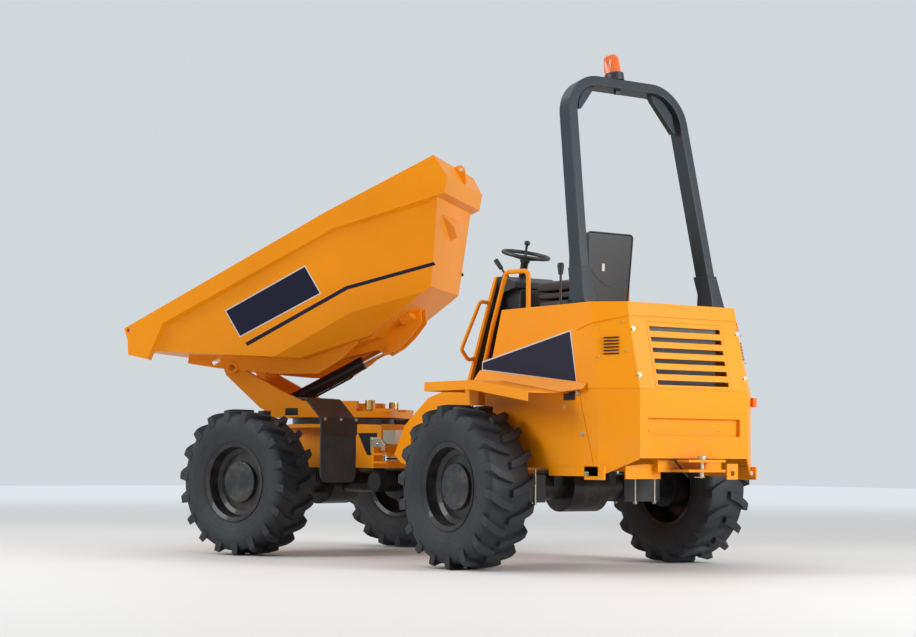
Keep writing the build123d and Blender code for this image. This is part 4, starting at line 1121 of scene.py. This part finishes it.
levers = {  # bars as start, end, radius, sides and the end's radius
    "shafts": (((-1578, 400, 1648), (-1578, 400, 1875), 8, 16),
               ((-1578, 400, 1648), (-1578, 400, 1690), 34, 32, 13),
               ((-690, 170, 1924), (-690, 170, 1948), 27, 32, 15),
               ((-690, 170, 1940), (-664, 187, 1985), 7, 16)),
    "grips": (((-1578, 400, 1862), (-1578, 400, 1926), 15, 32, 23),
              ((-1578, 400, 1926), (-1578, 400, 1938), 23, 32, 17),
              ((-666, 185, 1980), (-626, 208, 2044), 15, 24, 17)),
    "edge": 5,
}


def makeLevers():
    shafts, grips = ([turnedBar(*row) for row in levers[kind]] for kind in ("shafts", "grips"))
    for grip in grips:
        softenEdges(grip, levers["edge"], 50, 3)
    finishPiece("handLevers", gather(*shafts, *grips), "blackPlastic", smoothUnder=40, stands=("hand_levers",))


cabTrim = {"shadeSheet": ((-425, 1190), (425, 1190), (208, 1912), (-208, 1912)), "shadeSheetX": (-661, -655),
           "console": ((-656, 1240), (-656, 1845), (-842, 1838), (-815, 1560), (-745, 1240)),
           "consoleHalf": 150,
           "mat": ((-1070, -700), (-400, 400), (1184, 1189)), "ribs": 15, "firstRib": -1060, "pitch": 24,
           "rib": 10}


def makeCabTrim():
    # painted shade: the lining is a black sheet on the leg shield's inner face, which is dark only from shade; the
    # console is a part of its own
    shadeSheet = slab(cabTrim["shadeSheet"], *cabTrim["shadeSheetX"], "x")
    softenEdges(shadeSheet, 2)
    console = slab(cabTrim["console"], -cabTrim["consoleHalf"], cabTrim["consoleHalf"])
    softenEdges(console, 14, 30, 3)
    finishPiece("shieldShadeAndConsole", gather(shadeSheet, console), "blackPlastic", smoothUnder=40)
    # ribbed rubber mat on the floor between the body and the shield
    mat = block(*cabTrim["mat"])
    starts = [cabTrim["firstRib"] + cabTrim["pitch"] * k for k in range(cabTrim["ribs"])]
    ribs = [block((start, start + cabTrim["rib"]), (-390, 390), (1188, 1192)) for start in starts]
    finishPiece("floorMat", gather(mat, *ribs), "flapRubber")


makeSeat()
makeSteeringWheel()
makeLevers()
makeCabTrim()
print("driver's place made")

cheeks = {"outline": ((-860, 1163), (-620, 1163), (-350, 1100), (-74, 920), (60, 715), (-40, 655), (-560, 640),
                      (-860, 900)),
          "y": (556, 568),
          "slot": ((-250, 700), (-250, 830), (-225, 862), (-170, 862), (-145, 830), (-145, 700))}


def makeCheeks():
    # side plates that carry the floor and fall away towards the pivot
    def oneSide():
        plate = cutFrom(slab(cheeks["outline"], *cheeks["y"]),
                        slab(cheeks["slot"], cheeks["y"][0] - 5, cheeks["y"][1] + 5))
        softenEdges(plate, 1.5, 40)
        return plate
    finishPiece("frameCheeks", bothSides(oneSide), "orangePaint")


rubberStops = {"y": 306, "x": -300, "z": (1040, 1112), "radius": 37}


def makeStops():
    def oneSide():
        k = rubberStops
        post = turnedBar((k["x"], k["y"], k["z"][0]), (k["x"], k["y"], k["z"][1]), k["radius"], 48)
        softenEdges(post, 3, 40)
        return post
    finishPiece("restStops", bothSides(oneSide), "goldPlate", "turntable", stands=("rest_buffers",))


frontDetails = {"shadedOpening": ((600, 712), (693, 712), (781, 871), (600, 871)),
                "plate": ((521, 730), (655, 730), (655, 840), (575, 840), (521, 790)),
                "frameHalf": 260.3, "coverY": (261, 270),
                "bolts": ((545, 745), (638, 745), (638, 822), (590, 790)), "boltSize": 15,
                "armHalf": 370.0, "window": ((232, 1000), (330, 1000), (330, 1052), (232, 1052))}


def makeFrontDetails():
    d = frontDetails
    for side, sign in sideSigns:
        face, arm = ((Vector((0, sign * d[half], 0)), Vector((0, sign, 0)))
                     for half in ("frameHalf", "armHalf"))
        # painted shade: a black sheet laid on the frame's side for the dark inside of its opening
        stuckOn("frameOpening" + side, d["shadedOpening"], face, 1, "blackPaint", "front_chassis")
        valve = slab(d["plate"], *signedRange(sign, d["coverY"]))
        softenEdges(valve, 1.5, 40)
        bolts = [hexBolt((x, sign * d["coverY"][1], z), (0, sign, 0), d["boltSize"]) for x, z in d["bolts"]]
        finishPiece("valveCover" + side, gather(valve, *bolts), "zincPlate", "front_chassis")
        # painted shade: a black sheet on the arm's side for the dark inside of its window
        stuckOn("armWindow" + side, d["window"], arm, 0.8, "blackPaint", "turntable")


ramPipe = {"route": ((-14, 205, 40), (-14, 215, 56), (-14, 560, 56), (-14, 590, 40)), "radius": 7, "bend": 18,
           "clips": (250, 380, 510), "clipAcross": (-24, 16), "clipLong": 14, "clipUnder": (40, 62)}


def makeRamPipe():
    # thin oil pipe clipped along the tipping ram's barrel
    start = Vector(joints["tipping_ram_swing"]["pos_m"])
    way = Vector(joints["tipping_ram_stroke"]["axis"])
    way = way if way.z > 0 else -way
    across = Vector(joints["tipping_ram_swing"]["axis"]).normalized()
    under = way.cross(across).normalized()
    under = under if under.z < 0 else -under
    local = Matrix((across, way, under)).transposed().to_4x4()
    r = ramPipe
    pipe = bentRod(r["route"], r["radius"], 12, r["bend"])
    clips = [block(r["clipAcross"], (y, y + r["clipLong"]), r["clipUnder"]) for y in r["clips"]]
    finishPiece("ramPipe", gather(pipe, *clips), "blackPaint", "tipping_ram_barrel",
                place=Matrix.Translation(start) @ local)


clamps = {"x": (-1345, -1153), "y": (330, 640), "z": (414, 592), "studY": (420, 590)}


def makeAxleClamps():
    def oneSide():
        parts = []
        for x in (clamps["x"][0] - 2, clamps["x"][1] + 2):
            for y in clamps["studY"]:
                parts.append(turnedBar((x, y, clamps["z"][0] - 12), (x, y, clamps["z"][1] + 40), 9, 16))
                parts.append(hexBolt((x, y, clamps["z"][0]), (0, 0, -1), 24))
        return gather(*parts)
    finishPiece("axleStuds", bothSides(oneSide), "zincPlate")

    def boxes():
        box = block(clamps["x"], clamps["y"], clamps["z"])
        softenEdges(box, 4)
        return box
    finishPiece("axleBoxes", bothSides(boxes), "castIron")


makeCheeks()
makeStops()
makeFrontDetails()
makeRamPipe()
makeAxleClamps()
print("middle made")

# corners of small plates as ranges of x, y and z
tail = {
    "lash": ((-2281, -2094), (615, 627), (571, 653)), "lashHole": (-2240, 612, 15),
    "rearLash": ((-2382, -2370), (-367, -275), (574, 672)), "rearLashHole": (-321, 612, 16),
    "cheek": ((480, 655), (480, 577), (202, 577), (202, 668), (330, 668)), "cheekX": (-2306, -2294),
    "latch": ((-1896, 1112), (-2008, 1112), (-2014, 1052), (-1900, 1052)), "latchLift": 4.6,
    "lock": (-1909, 1012, 11), "lockY": (628, 633), "lamp": ((-2250, -2200), (-660, -628), (1030, 1090)),
    "strap": ((-2380, 165, 700), (-2408, 132, 645), (-2414, 76, 592)), "strapRadius": 7,
    "clip": ((-2462, -16, 590), (-2438, 16, 590), (-2430, 40, 590), (-2446, 56, 590), (-2468, 44, 590),
             (-2466, 20, 590),
             (-2448, 8, 586), (-2440, -14, 586)), "clipRadius": 2.6,
}


def makeTail():
    t = tail

    def drilled(plate, hole, reach):
        # a lashing tab, with its hole along the axis that reach gives
        radius, point = hole[2], Vector((0, 0, hole[1]))
        point[1 - reach] = hole[0]
        start, end = point.copy(), point.copy()
        start[reach], end[reach] = plate[reach][0] - 9, plate[reach][1] + 9
        tab = cutFrom(block(*plate), turnedBar(start, end, radius, 28))
        softenEdges(tab, 2.5, 40)
        return tab
    cheek = slab(t["cheek"], *t["cheekX"], "x")
    softenEdges(cheek, 2.5, 40)
    sideTabs = bothSides(lambda: drilled(t["lash"], t["lashHole"], 1))
    finishPiece("lashingEyes", gather(sideTabs, drilled(t["rearLash"], t["rearLashHole"], 0), cheek),
                "orangePaint")
    finishPiece("pinStrap", bentRod(t["strap"], t["strapRadius"], 12, 20), "flapRubber")
    x, z, radius = t["lock"]
    for side, sign in sideSigns:
        stuckOn("latchPocket" + side, t["latch"], bodyPlane("sideLow", sign), t["latchLift"], "blackPaint")
        lock = turnedBar((x, sign * t["lockY"][0], z), (x, sign * t["lockY"][1], z), radius, 24)
        finishPiece("doorLock" + side, lock, "zincPlate")
    lens = block(*t["lamp"])
    softenEdges(lens, 6, 40, 3)
    finishPiece("sideMarker", lens, "amberLens")
    finishPiece("pinClip", bentRod(t["clip"], t["clipRadius"], 10, 9), "zincPlate")


coolerFins = {"count": 70, "tip": 10, "root": 4, "shorter": 8}


def makeCoolerFins():
    # pleated fins seen through the louvres, as one zigzag in front of the radiator
    low, high = (corner * 1000 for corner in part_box("radiator"))
    outline = []
    for k in range(coolerFins["count"] + 1):
        y = low.y + (high.y - low.y) * k / coolerFins["count"]
        outline.append((low.x - coolerFins["tip" if k % 2 else "root"], y))
    outline += [(low.x - 1, high.y), (low.x - 1, low.y)]
    fins = slab(outline, low.z + coolerFins["shorter"], high.z - coolerFins["shorter"], "z")
    finishPiece("coolerFins", fins, "coreGrey", smoothUnder=10, place=Matrix.Identity(4))


hoopTrim = {
    "gussets": (((372, 2904), (233, 3064), (300, 3052), (352, 3010), (386, 2950), (392, 2904)),
                ((-389, 2817), (-241, 3026), (-233, 3064), (-300, 3052), (-352, 3010), (-398, 2940),
                 (-404, 2817))),
    "half": 22, "foot": (-1956, 1660), "lean": 0.187, "bracket": ((-1716, -1690), (20, 60), (3036, 3060)),
}


def makeHoopTrim():
    h = hoopTrim
    footX, footZ = h["foot"]
    parts = [block(*h["bracket"])]
    softenEdges(parts[0], 3)
    for outline in h["gussets"]:
        plate = slab(outline, -h["half"], h["half"], "x")
        softenEdges(plate, 2, 40)
        for vert in plate.verts:
            vert.co.x += footX + (vert.co.z - footZ) * h["lean"]
        parts.append(plate)
    finishPiece("hoopGussets", gather(*parts), "hoopGrey")


makeTail()
makeCoolerFins()
makeHoopTrim()
print("tail and hoop details made")

# the room and the camera
stage = {"floorSize": 60.0, "floorGrey": 0.80, "worldGrey": 0.42, "worldTint": (1.0, 0.98, 0.96),
         "backdrop": (0.64, 0.69, 0.72), "reach": 30.0, "fade": (0.2, 0.62)}
camera = {"place": (-11.247, 8.111, 0.700), "heading": -35.067, "climb": 3.423, "roll": 0.389, "lens": 76.755,
          "shift": (0.01845, 0.02395)}
lamps = (  # place, aimed at, size, watts
    ((2.5, 11.0, 6.5), (0.0, 0.0, 1.0), 5.0, 720),
    ((-10.0, -4.0, 4.5), (-1.5, 0.0, 1.2), 4.0, 760),
    ((3.0, 2.0, 10.0), (0.0, 0.0, 0.5), 8.0, 330),
)


def makeStage():
    bm = bmesh.new()
    bmesh.ops.create_grid(bm, x_segments=1, y_segments=1, size=stage["floorSize"] / 2)
    mesh = bpy.data.meshes.new("floor")
    bm.to_mesh(mesh)
    floor = bpy.data.objects.new("floor", mesh)
    bpy.context.collection.objects.link(floor)
    # away from the machine the camera sees the floor fade into the backdrop
    paint = Shader("floorPaint", (stage["floorGrey"],) * 3, 0.6)
    distance = paint.node("VectorMath", {"operation": "LENGTH"}, paint.place(), out="Value")
    (near, far) = stage["fade"]
    faded = paint.steps(distance * (1 / stage["reach"]), (near, 0.0), (far, 1.0))
    faded = faded * paint.node("LightPath", {}, out="Is Camera Ray")
    paint.feed("Base Color", paint.blend(faded, (stage["floorGrey"],) * 3, (0, 0, 0)))
    paint.feed("Emission Color", paint.blend(faded, (0, 0, 0), stage["backdrop"]))
    paint.surface.inputs["Emission Strength"].default_value = 1.0
    floor.data.materials.append(paint.material)


def makeWorld():
    # camera, glossy and transmitted rays see the backdrop, and the others a plain light
    world = bpy.data.worlds.new("room")
    bpy.context.scene.world = world
    world.use_nodes = True
    nodesOf, link = world.node_tree.nodes, world.node_tree.links.new
    path, either, seen, pick = (nodesOf.new("ShaderNode" + kind)
                                for kind in ("LightPath", "Math", "Math", "Mix"))
    link(path.outputs["Is Camera Ray"], either.inputs[0])
    link(path.outputs["Is Glossy Ray"], either.inputs[1])
    link(either.outputs[0], seen.inputs[0])
    link(path.outputs["Is Transmission Ray"], seen.inputs[1])
    seen.use_clamp = True
    pick.data_type = "RGBA"
    factor, plain, backdrop = (pick.inputs[k] for k in (0, 6, 7))
    plain.default_value = (*shade(stage["worldTint"], stage["worldGrey"]), 1)
    backdrop.default_value = (*stage["backdrop"], 1)
    link(seen.outputs[0], factor)
    link(pick.outputs[2], nodesOf["Background"].inputs["Color"])


def makeCamera():
    eye = bpy.data.objects.new("camera", bpy.data.cameras.new("camera"))
    bpy.context.collection.objects.link(eye)
    turn, climb = math.radians(camera["heading"]), math.radians(camera["climb"])
    look = Vector((math.cos(climb) * math.cos(turn), math.cos(climb) * math.sin(turn), math.sin(climb)))
    eye.location = rear @ Vector(camera["place"])
    eye.rotation_mode = "QUATERNION"
    roll = Matrix.Rotation(math.radians(camera["roll"]), 4, "Z").to_quaternion()
    eye.rotation_quaternion = look.to_track_quat("-Z", "Y") @ roll
    eye.data.lens, eye.data.sensor_width = camera["lens"], 36.0
    eye.data.shift_x, eye.data.shift_y = camera["shift"]
    bpy.context.scene.camera = eye


def makeLamps():
    for place, aim, size, watts in lamps:
        lamp = bpy.data.objects.new("lamp", bpy.data.lights.new("lamp", "AREA"))
        lamp.data.size, lamp.data.energy = size, watts
        lamp.location = place
        lamp.rotation_mode = "QUATERNION"
        lamp.rotation_quaternion = (Vector(aim) - Vector(place)).to_track_quat("-Z", "Y")
        bpy.context.collection.objects.link(lamp)


makeStage()
makeWorld()
makeCamera()
makeLamps()
bpy.context.scene.view_settings.view_transform = "Standard"
print("room, lamps and camera placed")
